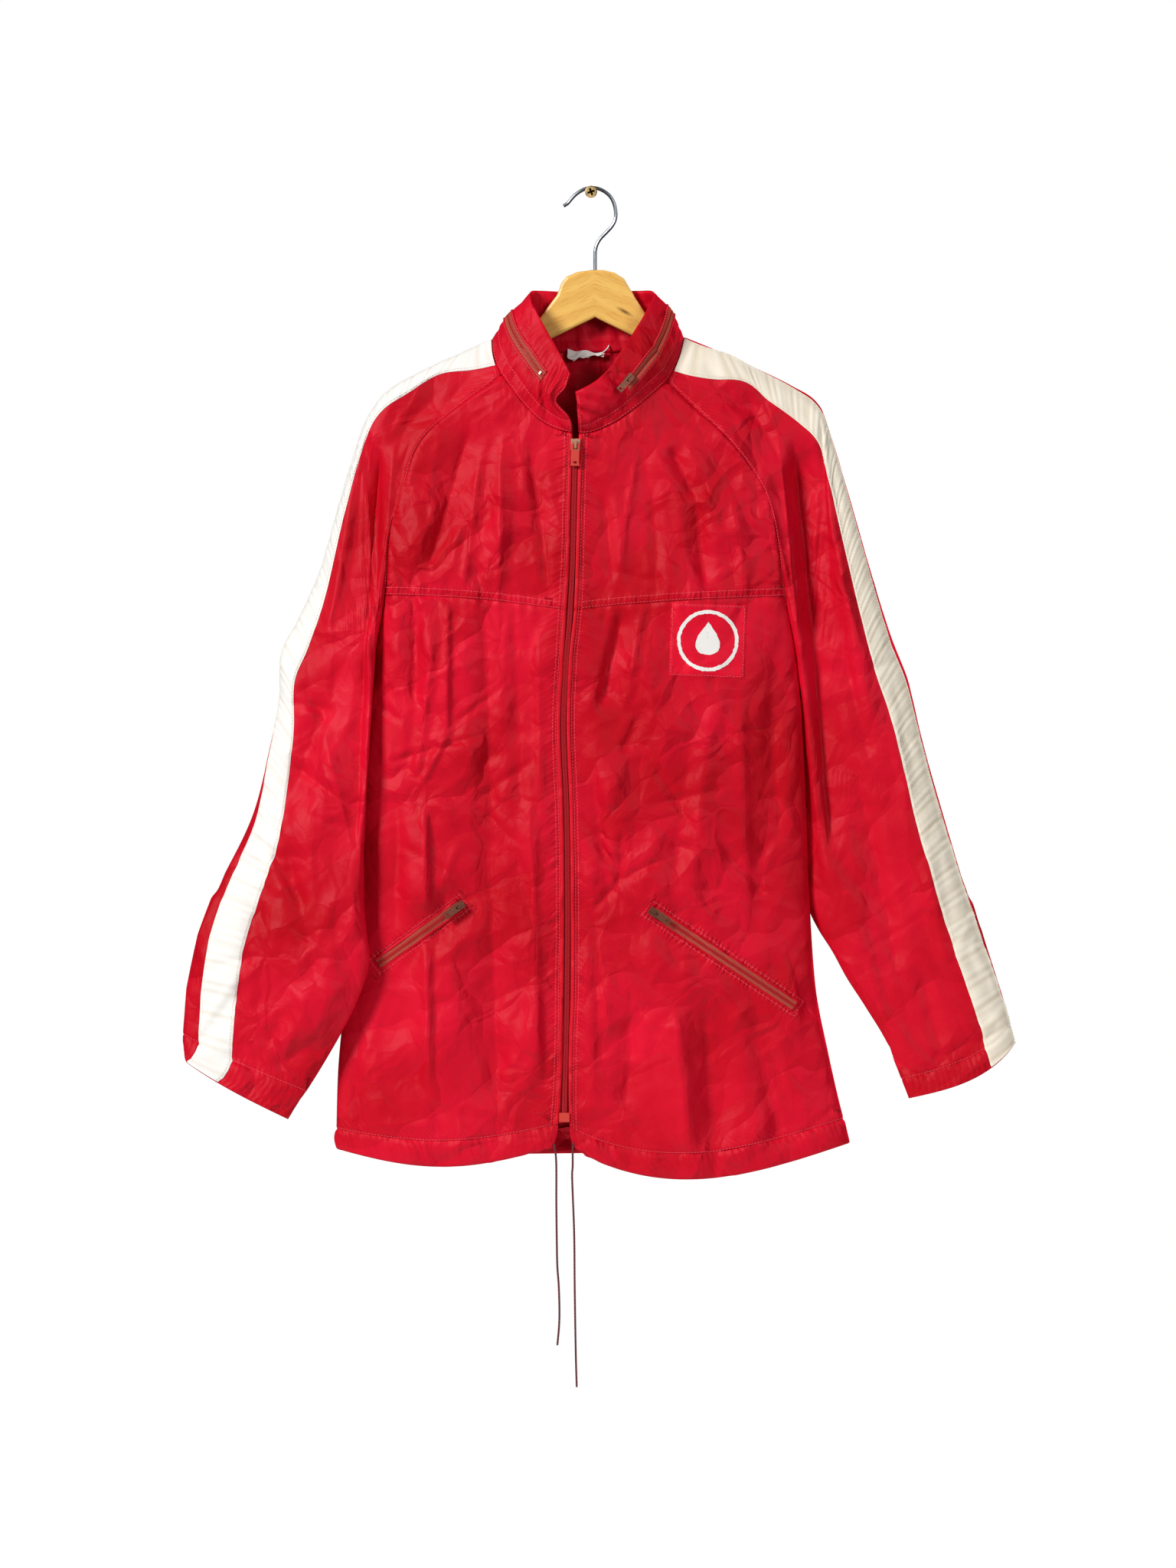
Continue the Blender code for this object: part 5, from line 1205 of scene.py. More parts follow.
places = np.linspace(0, 1, COLLAR_COLUMNS + 1)
seam = at_shares(neck_seam(), places)
knots = np.array(COLLAR_TOP)
top = np.array([along_table(knots[:, [1, 3, 2]], t)
                for t in np.interp(places, knots[:, 0], np.arange(len(knots)))])
rises = np.linspace(0, 1, COLLAR_RISES)
grid = seam[None] + (top - seam)[None] * rises[:, None, None]
out = outward(grid, True)
round_neck = lengths_along(seam)
grid += out * (COLLAR_OUT * np.sin(math.pi * rises))[:, None, None]
smooth_collar = np.array(grid)
ends = smooth_step(np.minimum(places, 1 - places) / 0.03)
from_end = np.minimum(round_neck, round_neck[-1] - round_neck)
by_opening = smooth_step((COLLAR_LOOSE - from_end) / 30)
lumps = wobble(round_neck[None] + rises[:, None] * 30, *COLLAR_LUMPS)
creases = wobble(round_neck[None] * 0.9 - rises[:, None] * 46, *COLLAR_CREASES)
near_zip = np.exp(-((rises[:, None] - collar_zip_rise(round_neck)[None]) / 0.13) ** 2) * (1 - by_opening)
crumple = (lumps * 0.6 + creases * (0.25 + 1.2 * by_opening)) * (1 - 0.9 * near_zip)
crumple *= np.sin(math.pi * rises)[:, None] ** 0.6
stitched = 1.1 * np.exp(-((rises - COLLAR_BAND) / 0.035) ** 2)
grid += out * (crumple - stitched[:, None])[:, :, None]
curl = np.exp(-((rises - 0.57) / 0.2) ** 2)[:, None]
grid[:, :, 0] -= COLLAR_CURL * curl * smooth_step(1 - round_neck / 70)
grid[:, :, 1] -= 4.0 * curl * np.exp(-((round_neck - 20) / 12) ** 2)
thick = COLLAR_EDGE + COLLAR_BELLY * np.sin(math.pi * rises)[:, None] * ends[None]
inner = grid - out * (thick * (1 + 0.25 * wobble(round_neck, (24.0, 0.6, 0), (15.0, 0.4, 1))))[:, :, None]
crown = (grid[-1:] + inner[-1:]) / 2 + [0, 0, 0.8]
collar_ring = np.concatenate([grid, crown, inner[::-1]]).swapaxes(0, 1)
rise_of = np.concatenate([rises, [1.0], rises[::-1]])[None]
pull = 0.13 * np.exp(-((rise_of - COLLAR_BAND) / 0.14) ** 2) + 0.08 * np.exp(-((rise_of - 0.75) / 0.16) ** 2)
mesh = sewn_mesh("collar_cloth", collar_ring, nylon, round_neck[:, None], pull, closed=True)
shape = bmesh.new()
shape.from_mesh(mesh)
shape.verts.ensure_lookup_table()
for end in (list(shape.verts)[:len(rise_of[0])], list(shape.verts)[-len(rise_of[0]):]):
    for k in range(len(end) // 2):
        cap = shape.faces.new(list(dict.fromkeys([end[k], end[k + 1], end[-2 - k], end[-1 - k]])))
        cap.smooth = True
bmesh.ops.recalc_face_normals(shape, faces=shape.faces)
shape.to_mesh(mesh)
shape.free()
piece = show("stand_collar", mesh, JACKET, "nylon_red", "collar")
collar = {"grid": grid, "rows": rises, "columns": round_neck, "out": out}
for rise in (0.03, COLLAR_BAND):
    sew("red", *on_cloth(collar, np.full(200, rise), np.linspace(1.5, round_neck[-1] - 1.5, 200)))
for end in (0, round_neck[-1]):
    sew("red", *on_cloth(collar, np.linspace(0.05, 0.95, 20), np.full(20, abs(end - 2.5))))

# ==== Main zip ===================================================================================
# A red nylon coil zip closes the front from the hem to the neck, between two narrow turned facings.
# Its metal slider is at the top, with a red enamelled pull, and a small box ends it above the hem.
ZIP_PROUD = 0.6
ZIP_TOP, ZIP_BOTTOM = -243, -908
TOOTH_PITCH, TOOTH_REACH = 1.3, 1.15   # along the zip, and from its middle to the middle of a tooth
ZIP_FACING = ((0.0, 0.1), (0.3, 0.6), (1.8, 0.75), (3.4, 0.6), (3.9, 0.05))    # from the edge, and height
TOOTH = (2.7, 1.0, 1.3)                # across, along, thick
COIL_COLOUR, LIT_FACING_COLOURS = "CC2832", ("D20A20", "DE1C30")
ZIP_TAPES = {"rust": ("C24C38", "A03826"), "red": ("DC2038", "B01428")}


def coil_nylon():
    """Moulded nylon monofilament: smooth, with a soft shine."""
    material, _, shader = new_material("coil_nylon", COIL_COLOUR, 0.4, ior=1.53)
    shader.inputs["Specular IOR Level"].default_value = 0.25
    return material


def woven_zip_tape(colour_name):
    """Polyester zip tape: matte and worn, in a diagonal weave drawn coarser than real, so that it shows. It
    is painted darker in the weave's low bands as painted shade, and in random patches.
    """
    light, dark = ZIP_TAPES[colour_name]
    material, tree, shader = new_material(f"woven_zip_tape_{colour_name}", light, 0.75)
    place = add_node(tree, "ShaderNodeTexCoord").outputs["Object"]
    weave = add_node(tree, "ShaderNodeTexWave", {"bands_direction": "DIAGONAL"}, Vector=place,
                     Scale=WAVE_SCALE, Distortion=1.0)
    worn = add_node(tree, "ShaderNodeTexNoise", Vector=place, Scale=1000 / 12, Detail=3.0)
    both = add_node(tree, "ShaderNodeMath", {"operation": "MULTIPLY"}, i0=weave.outputs["Fac"],
                    i1=worn.outputs["Fac"])
    # Darker in the weave's low bands, a painted shade, and darker in random patches.
    colour = add_node(tree, "ShaderNodeMix", {"data_type": "RGBA"}, i0=both.outputs[0],
                      i6=(*linear(dark), 1), i7=(*linear(light), 1))
    bump = add_node(tree, "ShaderNodeBump", Height=weave.outputs["Fac"], Distance=0.1 * MM)
    tree.links.new(colour.outputs[2], shader.inputs["Base Color"])
    tree.links.new(bump.outputs["Normal"], shader.inputs["Normal"])
    return material


def small_boxes(name, middles, across, along, out, size, taper=0.7):
    """One mesh of many like boxes, each with its own directions. Their outer faces are narrower."""
    corners = [(-1, -1, -1), (1, -1, -1), (1, 1, -1), (-1, 1, -1), (-taper, -taper, 1), (taper, -taper, 1),
               (taper, taper, 1), (-taper, taper, 1)]
    points = np.stack([middles + sum(
        axis * (sign * length / 2) for axis, sign, length in zip((across, along, out), corner, size))
        for corner in corners], axis=1)
    sides = np.array([(0, 3, 2, 1), (4, 5, 6, 7), (0, 1, 5, 4), (1, 2, 6, 5), (2, 3, 7, 6), (3, 0, 4, 7)])
    faces = (sides[None] + 8 * np.arange(len(middles))[:, None, None]).reshape(-1, 4)
    mesh = bpy.data.meshes.new(name)
    mesh.from_pydata((points.reshape(-1, 3) * MM).tolist(), [], faces.tolist())
    mesh.update()
    return mesh


def even_places(line, pitch):
    """Places a pitch apart on a line, the line's direction there, and how far along each is."""
    along = lengths_along(line)
    at = np.arange(pitch / 2, along[-1], pitch)
    run = read_at(at + pitch / 2, along, line) - read_at(at - pitch / 2, along, line)
    return read_at(at, along, line), run / np.maximum(np.linalg.norm(run, axis=1, keepdims=True), 1e-9), at


def zip_coil(name, line, out, tooth, pitch, reach, *nodes):
    """Two rows of teeth that mesh along a line."""
    shapes = []
    total = lengths_along(line)
    for sign, start in ((-1, 0), (1, pitch / 2)):
        places, run, at = even_places(line, pitch)
        facing = read_at(at, total, out)
        facing /= np.linalg.norm(facing, axis=1, keepdims=True)
        across = np.cross(run, facing)
        shapes.append((places + run * start + across * sign * reach, across, run, facing))
    mesh = small_boxes(name, *(np.concatenate(parts) for parts in zip(*shapes)), tooth)
    mesh.materials.append(coil_material)
    show(name, mesh, JACKET, "zip_tape_rust", *nodes)


def give(node, material, bevel=0.0):
    """Gives a carried-over solid its material, and rounds its edges."""
    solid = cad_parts[node]
    solid.data.materials.clear()
    solid.data.materials.append(material)
    if bevel:
        edge = solid.modifiers.new("worn_edges", "BEVEL")
        edge.width = bevel * MM
        edge.segments = 2
        edge.limit_method = "ANGLE"
        edge.angle_limit = math.radians(40)


coil_material, zip_tape_material = coil_nylon(), woven_zip_tape("rust")
main_tape_material = woven_zip_tape("red")
zip_line = np.array([(front_section("right", t, shares=[0])[0] + front_section("left", t, shares=[0])[0]) / 2
                     for t in np.linspace(CASING, NECK, 400)])
zip_line = zip_line[(zip_line[:, 2] > ZIP_BOTTOM) & (zip_line[:, 2] < ZIP_TOP)] + [0, -ZIP_PROUD / 2, 0]
zip_coil("main_zip_teeth", zip_line, np.tile([0.0, -1.0, 0.0], (len(zip_line), 1)), TOOTH, TOOTH_PITCH,
         TOOTH_REACH, "zip_chain")
# The facings are the fronts' own nylon, painted lighter than it: a painted highlight on the strips beside the
# chain.
lit_facing_nylon = nylon_taffeta("lit_facing_nylon", *LIT_FACING_COLOURS)
for side, sheet in fronts.items():
    give(f"zip_tape_{side}", main_tape_material)
    _, casing_at, _, neck_at = sheet["marks"]
    up = np.linspace(casing_at + 1, neck_at - 3, 360)
    strip = []
    for far, high in ZIP_FACING:
        places, out = on_cloth(sheet, up, np.full(len(up), far))
        strip.append(places + out * high)
    strip = np.stack(strip, axis=1)
    mesh = sewn_mesh(f"facing_{side}", strip, lit_facing_nylon, flip=side == "right")
    show(f"zip_facing_{side}", mesh, JACKET, "nylon_red")

# ==== Pocket, collar and cuff zips ===============================================================
# Two slanting pockets, the hood's pocket in the collar and a slit at each cuff close with smaller
# coil zips. Each shows a strip of rust-red tape with its teeth in a slot between two pressed edges.
SMALL_TOOTH, SMALL_PITCH, SMALL_REACH = (1.7, 0.8, 1.0), 1.15, 0.75
POCKET_TAPE = (9.0, 1.2)               # its width, and how far its lips are rooted beneath it
POCKET_PLACES, UNDER_SLIDER = 60, 6    # places along a pocket's zip, and how many its slider covers
LIP = (2.4, 1.5)                       # width and height of each pressed edge
HOOD_TAPE = ((-4.9, 1.2), (-1.0, 1.7), (-0.8, 0.5), (0.8, 0.5), (1.0, 1.7), (4.9, 1.2))    # its section
HOOD_TOOTH = (0.9, 0.8, 0.8)           # the hood's coil lies behind its tape, so little of it shows
HOOD_STOP, ZINC = (4.4, 2.6, 1.4), "D8CFC8"    # the clip at its end: across, along, thick


def on_front(sheet, x, z):
    """Distances up and across a front sheet of the places at x, z, found by its nearest points."""
    flat = sheet["grid"].reshape(-1, 3)
    found = []
    for at_x, at_z in zip(x, z):
        near = np.argsort((flat[:, 0] - at_x) ** 2 + (flat[:, 2] - at_z) ** 2)[:4]
        weights = 1 / (np.hypot(flat[near, 0] - at_x, flat[near, 2] - at_z) + 0.05) ** 2
        weights /= weights.sum()
        r, c = np.unravel_index(near, sheet["grid"].shape[:2])
        found.append(((sheet["rows"][r] * weights).sum(), (sheet["columns"][c] * weights).sum()))
    return np.array(found).T


def zip_lip(name, places, out, across, sign, start):
    """A pressed cloth edge beside a coil: a low half-round strip."""
    width, height = LIP
    profile = [(start, 0.0), (start, height * 0.7), (start + width * 0.3, height), (start + width, 0.05)]
    grid = np.stack([places + across * (sign * far) + out * high for far, high in profile], axis=1)
    show(name, sewn_mesh(name, grid, nylon, flip=sign < 0), JACKET, "nylon_red")


for side, ((x0, z0), (x1, z1)) in POCKET_ZIP.items():
    give(f"pocket_zip_{side}", zip_tape_material)
    tree = BVHTree.FromObject(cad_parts[f"pocket_zip_{side}"], bpy.context.evaluated_depsgraph_get())
    hits = [tree.ray_cast(Vector(((x0 + (x1 - x0) * s) * MM, -0.5, (z0 + (z1 - z0) * s) * MM)),
                          Vector((0, 1, 0))) for s in np.linspace(0, 1, POCKET_PLACES)]
    places = np.array([np.array(hit[0]) / MM for hit in hits if hit[0]])
    facing = np.mean([np.array(hit[1]) for hit in hits if hit[0]], axis=0)
    run = (places[-1] - places[0]) / np.linalg.norm(places[-1] - places[0])
    facing -= run * (facing @ run)
    out = np.tile(facing / np.linalg.norm(facing), (len(places), 1))
    across = np.cross(np.tile(run, (len(places), 1)), out)
    zip_coil(f"pocket_zip_teeth_{side}", (places + out * 0.35)[UNDER_SLIDER:], out[UNDER_SLIDER:],
             SMALL_TOOTH, SMALL_PITCH, SMALL_REACH)
    sunk = places - out * POCKET_TAPE[1]
    for sign, edge in ((-1, "upper"), (1, "lower")):
        zip_lip(f"pocket_{edge}_lip_{side}", sunk, out, across, sign, POCKET_TAPE[0] / 2 - 0.3)
    flat = np.array([x1 - x0, z1 - z0]) / math.hypot(x1 - x0, z1 - z0)
    beside = np.array([-flat[1], flat[0]])
    ends = [np.array([x0, z0]) - flat * 7, np.array([x1, z1]) + flat * 5]
    corners = [ends[0] + beside * POCKET_BOX, ends[1] + beside * POCKET_BOX, ends[1] - beside * POCKET_BOX,
               ends[0] - beside * POCKET_BOX, ends[0] + beside * POCKET_BOX]
    for start, end in zip(corners, corners[1:]):
        steps = np.linspace(0, 1, 70 if np.linalg.norm(end - start) > 40 else 8)
        x, z = (start + (end - start) * steps[:, None]).T
        sew("red", *on_cloth(fronts[side], *on_front(fronts[side], x, z)))

smooth_sheet = dict(collar, grid=smooth_collar)
zip_span = np.linspace(COLLAR_ZIP[0][0], COLLAR_ZIP[-1][0], 200)
places, out = on_cloth(smooth_sheet, collar_zip_rise(zip_span), zip_span)
above = on_cloth(smooth_sheet, collar_zip_rise(zip_span) + 0.05, zip_span)[0]
out = out / np.linalg.norm(out, axis=1, keepdims=True)
rising = (above - places) / np.linalg.norm(above - places, axis=1, keepdims=True)
strip = np.stack([places + out * high + rising * far for far, high in HOOD_TAPE], axis=1)
mesh = grid_mesh("hood_zip_tape", strip)
mesh.materials.append(zip_tape_material)
show("hood_zip_tape", mesh, JACKET, "zip_tape_rust", "collar_zip")
zip_coil("hood_zip_teeth", places + out * 0.9, out, HOOD_TOOTH, SMALL_PITCH, HOOD_TOOTH[0] / 2)
for sign, edge in ((-1, "lower"), (1, "upper")):
    zip_lip(f"hood_{edge}_lip", places + out * 0.4, out, rising, sign, HOOD_TAPE[-1][0] - 0.2)
    sew("red", places + out * 1.5 + rising * sign * (HOOD_TAPE[-1][0] + 1.4), out)
end = slice(3, 4)
stop = small_boxes("hood_zip_stop", (places + out * 1.6)[end], rising[end], np.cross(rising, out)[end],
                   out[end], HOOD_STOP)
stop.materials.append(new_material("bright_zinc", ZINC, 0.3, metallic=1.0)[0])
show("hood_zip_stop", stop, JACKET, "zip_metal")
for side in ("right", "left"):
    give(f"cuff_zip_{side}", zip_tape_material)

# ==== Sliders and pulls ==========================================================================
# Each zip has a die-cast slider with a bail, and a pull that swings under it. The main one is
# coppery with a red enamelled pull, and the small ones are darker. Handling has worn their edges.
METALS = {"coppery": ("F0BFA0", "B87458"), "dark": ("A86850", "54302A")}
ENAMEL_RED, ENAMEL_CHIP = "D2443A", "E0B098"


def worn_plating(name):
    """Copper-flashed zinc: a metal's shine, dulled in blotches by handling."""
    light, dark = METALS[name]
    material, tree, shader = new_material(f"{name}_plating", light, 0.4, metallic=0.65)
    place = add_node(tree, "ShaderNodeTexCoord").outputs["Object"]
    blotch = add_node(tree, "ShaderNodeTexNoise", Vector=place, Scale=1000 / 2.5, Detail=3.0)
    colour = add_node(tree, "ShaderNodeMix", {"data_type": "RGBA"}, i0=blotch.outputs["Fac"],
                      i6=(*linear(dark), 1), i7=(*linear(light), 1))
    rough = add_node(tree, "ShaderNodeMapRange", Value=blotch.outputs["Fac"], To__Min=0.5, To__Max=0.32)
    tree.links.new(colour.outputs[2], shader.inputs["Base Color"])
    tree.links.new(rough.outputs["Result"], shader.inputs["Roughness"])
    return material


def chipped_enamel():
    """Red stove enamel on metal: glossy, chipped to the metal here and there."""
    material, tree, shader = new_material("chipped_enamel", ENAMEL_RED, 0.3, ior=1.52)
    place = add_node(tree, "ShaderNodeTexCoord").outputs["Object"]
    chips = add_node(tree, "ShaderNodeTexNoise", Vector=place, Scale=1000 / 1.8, Detail=2.0)
    bare = add_node(tree, "ShaderNodeMapRange", Value=chips.outputs["Fac"], From__Min=0.66, From__Max=0.72)
    colour = add_node(tree, "ShaderNodeMix", {"data_type": "RGBA"}, i0=bare.outputs["Result"],
                      i6=(*linear(ENAMEL_RED), 1), i7=(*linear(ENAMEL_CHIP), 1))
    tree.links.new(colour.outputs[2], shader.inputs["Base Color"])
    tree.links.new(bare.outputs["Result"], shader.inputs["Metallic"])
    return material


coppery, dark_metal, enamel = worn_plating("coppery"), worn_plating("dark"), chipped_enamel()
give("main_zip_slider", coppery, 0.5)
give("main_zip_pull", enamel, 0.3)
give("zip_box", enamel, 0.8)
for name in ("pocket_zip_right", "pocket_zip_left", "collar_zip", "cuff_zip_right", "cuff_zip_left"):
    metal = coppery if name.startswith("cuff") else dark_metal
    give(f"{name}_slider", metal, 0.4)
    give(f"{name}_pull", metal, 0.25)

# ==== Chest patch ================================================================================
# A square of the same red nylon is stitched on the left chest, just under the yoke seam. It carries
# a plain white print of a raindrop in a ring.
PATCH = ((76, -404), (152, -478))      # its top inner and bottom outer corner, x and z
PATCH_TILT = 2.0                       # in degrees
PATCH_LIFT, PRINT_LIFT = 1.1, 0.22
PATCH_SEAM = 2.0                       # from its edge to its stitches
DROP_MIDDLE, DROP_SIZE = (0.0, 2.5), (13.5, 16.5)      # of the raindrop, from the patch's middle
RING_PRINT = (26.5, 30.0)              # inner and outer radius of the ring round it
PATCH_COLOURS, PRINT_WHITE = ("DA0224", "EC1636"), "F2EFEA"


def patch_point(across, up, lift):
    """Places on the patch and their outward directions, from its middle, on the left front's cloth."""
    tilt = math.radians(PATCH_TILT)
    x = (PATCH[0][0] + PATCH[1][0]) / 2 + across * math.cos(tilt) + up * math.sin(tilt)
    z = (PATCH[0][1] + PATCH[1][1]) / 2 + up * math.cos(tilt) - across * math.sin(tilt)
    places, out = on_cloth(fronts["left"], *on_front(fronts["left"], x.ravel(), z.ravel()))
    out = out / np.linalg.norm(out, axis=1, keepdims=True)
    return (places + out * lift).reshape(*x.shape, 3), out.reshape(*x.shape, 3)


half_w, half_h = (PATCH[1][0] - PATCH[0][0]) / 2 - 1, (PATCH[0][1] - PATCH[1][1]) / 2 - 1
u, v = np.meshgrid(np.linspace(-half_w, half_w, 76), np.linspace(-half_h, half_h, 76))
grid, out = patch_point(u, v, PATCH_LIFT)
edge = np.minimum(half_w - np.abs(u), half_h - np.abs(v))
sunk = 0.9 * np.exp(-(edge / 1.0) ** 2) + 0.35 * np.exp(-((edge - PATCH_SEAM) / 0.8) ** 2)
grid -= out * sunk[:, :, None]
mesh = sewn_mesh("patch_cloth", grid, nylon_taffeta("patch_nylon", *PATCH_COLOURS), u + v,
                 0.14 * np.exp(-(edge / 5) ** 2))
piece = show("stitched_patch", mesh, JACKET, "nylon_red", "chest_patch")
for a, b in (((-1, -1), (1, -1)), ((1, -1), (1, 1)), ((1, 1), (-1, 1)), ((-1, 1), (-1, -1))):
    s = np.linspace(0, 1, 26)
    line_u = (a[0] + (b[0] - a[0]) * s) * (half_w - PATCH_SEAM)
    line_v = (a[1] + (b[1] - a[1]) * s) * (half_h - PATCH_SEAM)
    sew("red", *patch_point(line_u, line_v, PATCH_LIFT))

print_ink = new_material("screen_print", PRINT_WHITE, 0.55)[0]
angle, spread = np.meshgrid(np.linspace(0, 2 * math.pi, 49), np.linspace(0.02, 1, 9))
drop_across = np.sin(angle) * np.sin(angle / 2) ** 1.4 * DROP_SIZE[0] * 1.25
prints = [(DROP_MIDDLE[0] + drop_across * spread, DROP_MIDDLE[1] + np.cos(angle) * DROP_SIZE[1] * spread)]
angle, spread = np.meshgrid(np.linspace(0, 2 * math.pi, 97), np.linspace(*RING_PRINT, 3))
prints.append((np.sin(angle) * spread, np.cos(angle) * spread))
for number, (across, up) in enumerate(prints):
    grid, _ = patch_point(across, up, PATCH_LIFT + PRINT_LIFT)
    mesh = grid_mesh(f"print_{number}", grid)
    mesh.materials.append(print_ink)
    show(f"patch_print_{number}", mesh, JACKET, "label_white")

# ==== Neck label and loop ========================================================================
# A blank satin label is sewn in at the back neck seam, crumpled by wear, with a thin cord loop to
# hang the jacket up by. Both are inside the collar.
LABEL = (36, 9)                        # width, height
LABEL_AT = (-23, -7.4, -154)           # its right top corner, x, y, z
LABEL_WHITE = "ECEAE6"
LOOP_WIDE, LOOP_POINTS = 1.4, 24
LOOP_ROUTE = [(6, -8, -160), (9, -10, -158.5), (12, -11, -156.5), (15, -11, -154), (17, -10, -151.5),
              (17.5, -8.5, -150)]


def satin_label():
    """Woven satin ribbon: white, with a soft sheen along its width."""
    material, tree, shader = new_material("satin_label", LABEL_WHITE, 0.42)
    place = add_node(tree, "ShaderNodeTexCoord").outputs["Object"]
    folds = add_node(tree, "ShaderNodeTexNoise", Vector=place, Scale=1000 / 9, Detail=2.0)
    bump = add_node(tree, "ShaderNodeBump", Height=folds.outputs["Fac"], Distance=1.2 * MM)
    tree.links.new(bump.outputs["Normal"], shader.inputs["Normal"])
    return material


label_material = satin_label()
u, v = np.meshgrid(np.linspace(0, 1, 25), np.linspace(0, 1, 10))
crumple = wobble(u * 36 + v * 14, (13.0, 1.5, 0.4), (8.0, 0.9, 1.0)) * v
tall = LABEL[1] * (1 - 0.62 * smooth_step(u * 1.3 - 0.2)) + wobble(u * 36, (15.0, 1.4, 0.0), (7.0, 0.7, 1.0))
grid = np.stack([LABEL_AT[0] + u * LABEL[0] + v * crumple * 0.6, LABEL_AT[1] - 2.0 - v * 3.0 - crumple,
                 LABEL_AT[2] - v * tall - u * 3.0 + wobble(u * 36, (19.0, 1.0, 2.0))], axis=-1)
mesh = grid_mesh("label_cloth", grid, flip=True)
mesh.materials.append(label_material)
piece = show("blank_label", mesh, JACKET, "label_white", "neck_label")

loop, _ = round_cord("hang_loop", LOOP_ROUTE, LOOP_POINTS, LOOP_WIDE, 2, label_material)
show("hang_loop", loop, JACKET, "label_white")

# ==== Stitches ===================================================================================
# All rows of topstitching are lockstitch in polyester thread, eight stitches to the inch, red on the
# nylon and cream on the tapes. Each stitch is sunk a little into the cloth at both ends.
THREADS = {"red": "F05060", "cream": "EFE7D8"}
for thread, rows_sewn in stitches.items():
    shapes = []
    for places, out in rows_sewn:
        total = lengths_along(places)
        middles, run, at = even_places(places, STITCH_PITCH)
        facing = read_at(at, total, out)
        facing /= np.maximum(np.linalg.norm(facing, axis=1, keepdims=True), 1e-9)
        shapes.append((middles + facing * (STITCH[2] / 2 - 0.08), np.cross(run, facing), run, facing))
    mesh = small_boxes(f"{thread}_stitches", *(np.concatenate(parts) for parts in zip(*shapes)),
                       (STITCH[1], STITCH[0], STITCH[2]), 0.6)
    mesh.materials.append(new_material(f"{thread}_thread", THREADS[thread], 0.6)[0])
    show(f"{thread}_topstitching", mesh, JACKET, "nylon_red" if thread == "red" else "tape_white")

# ==== Hanger, hook and screw =====================================================================
# The hanger is a flat maple one with clear varnish, and only its head shows above the collar. A
# chromed wire hook stands in it and hangs on a yellow-plated wood screw.
WOOD_LIGHT, WOOD_DARK, WOOD_KNOT = "FBC968", "DE9B40", "6A4418"
HOOK_COLOUR, SCREW_COLOUR, SLOT_SHADE_COLOUR = "7E8186", "F4D090", "1E160C"
SCREW_FACE, CROSS_REACH = 31, 4.4       # from the wall to its head, and how far its dark slot reaches
MITRE_X, ARM_SLOPE = 3, 0.43            # where its two halves meet, and how steeply they fall
YEAR_RINGS = 9                          # half the way from one to the next
KNOT_AT, KNOT_SIZE, KNOT_TURN = (33, -22, -117.5), (10, 2.2), -28    # middle, half length and width, degrees


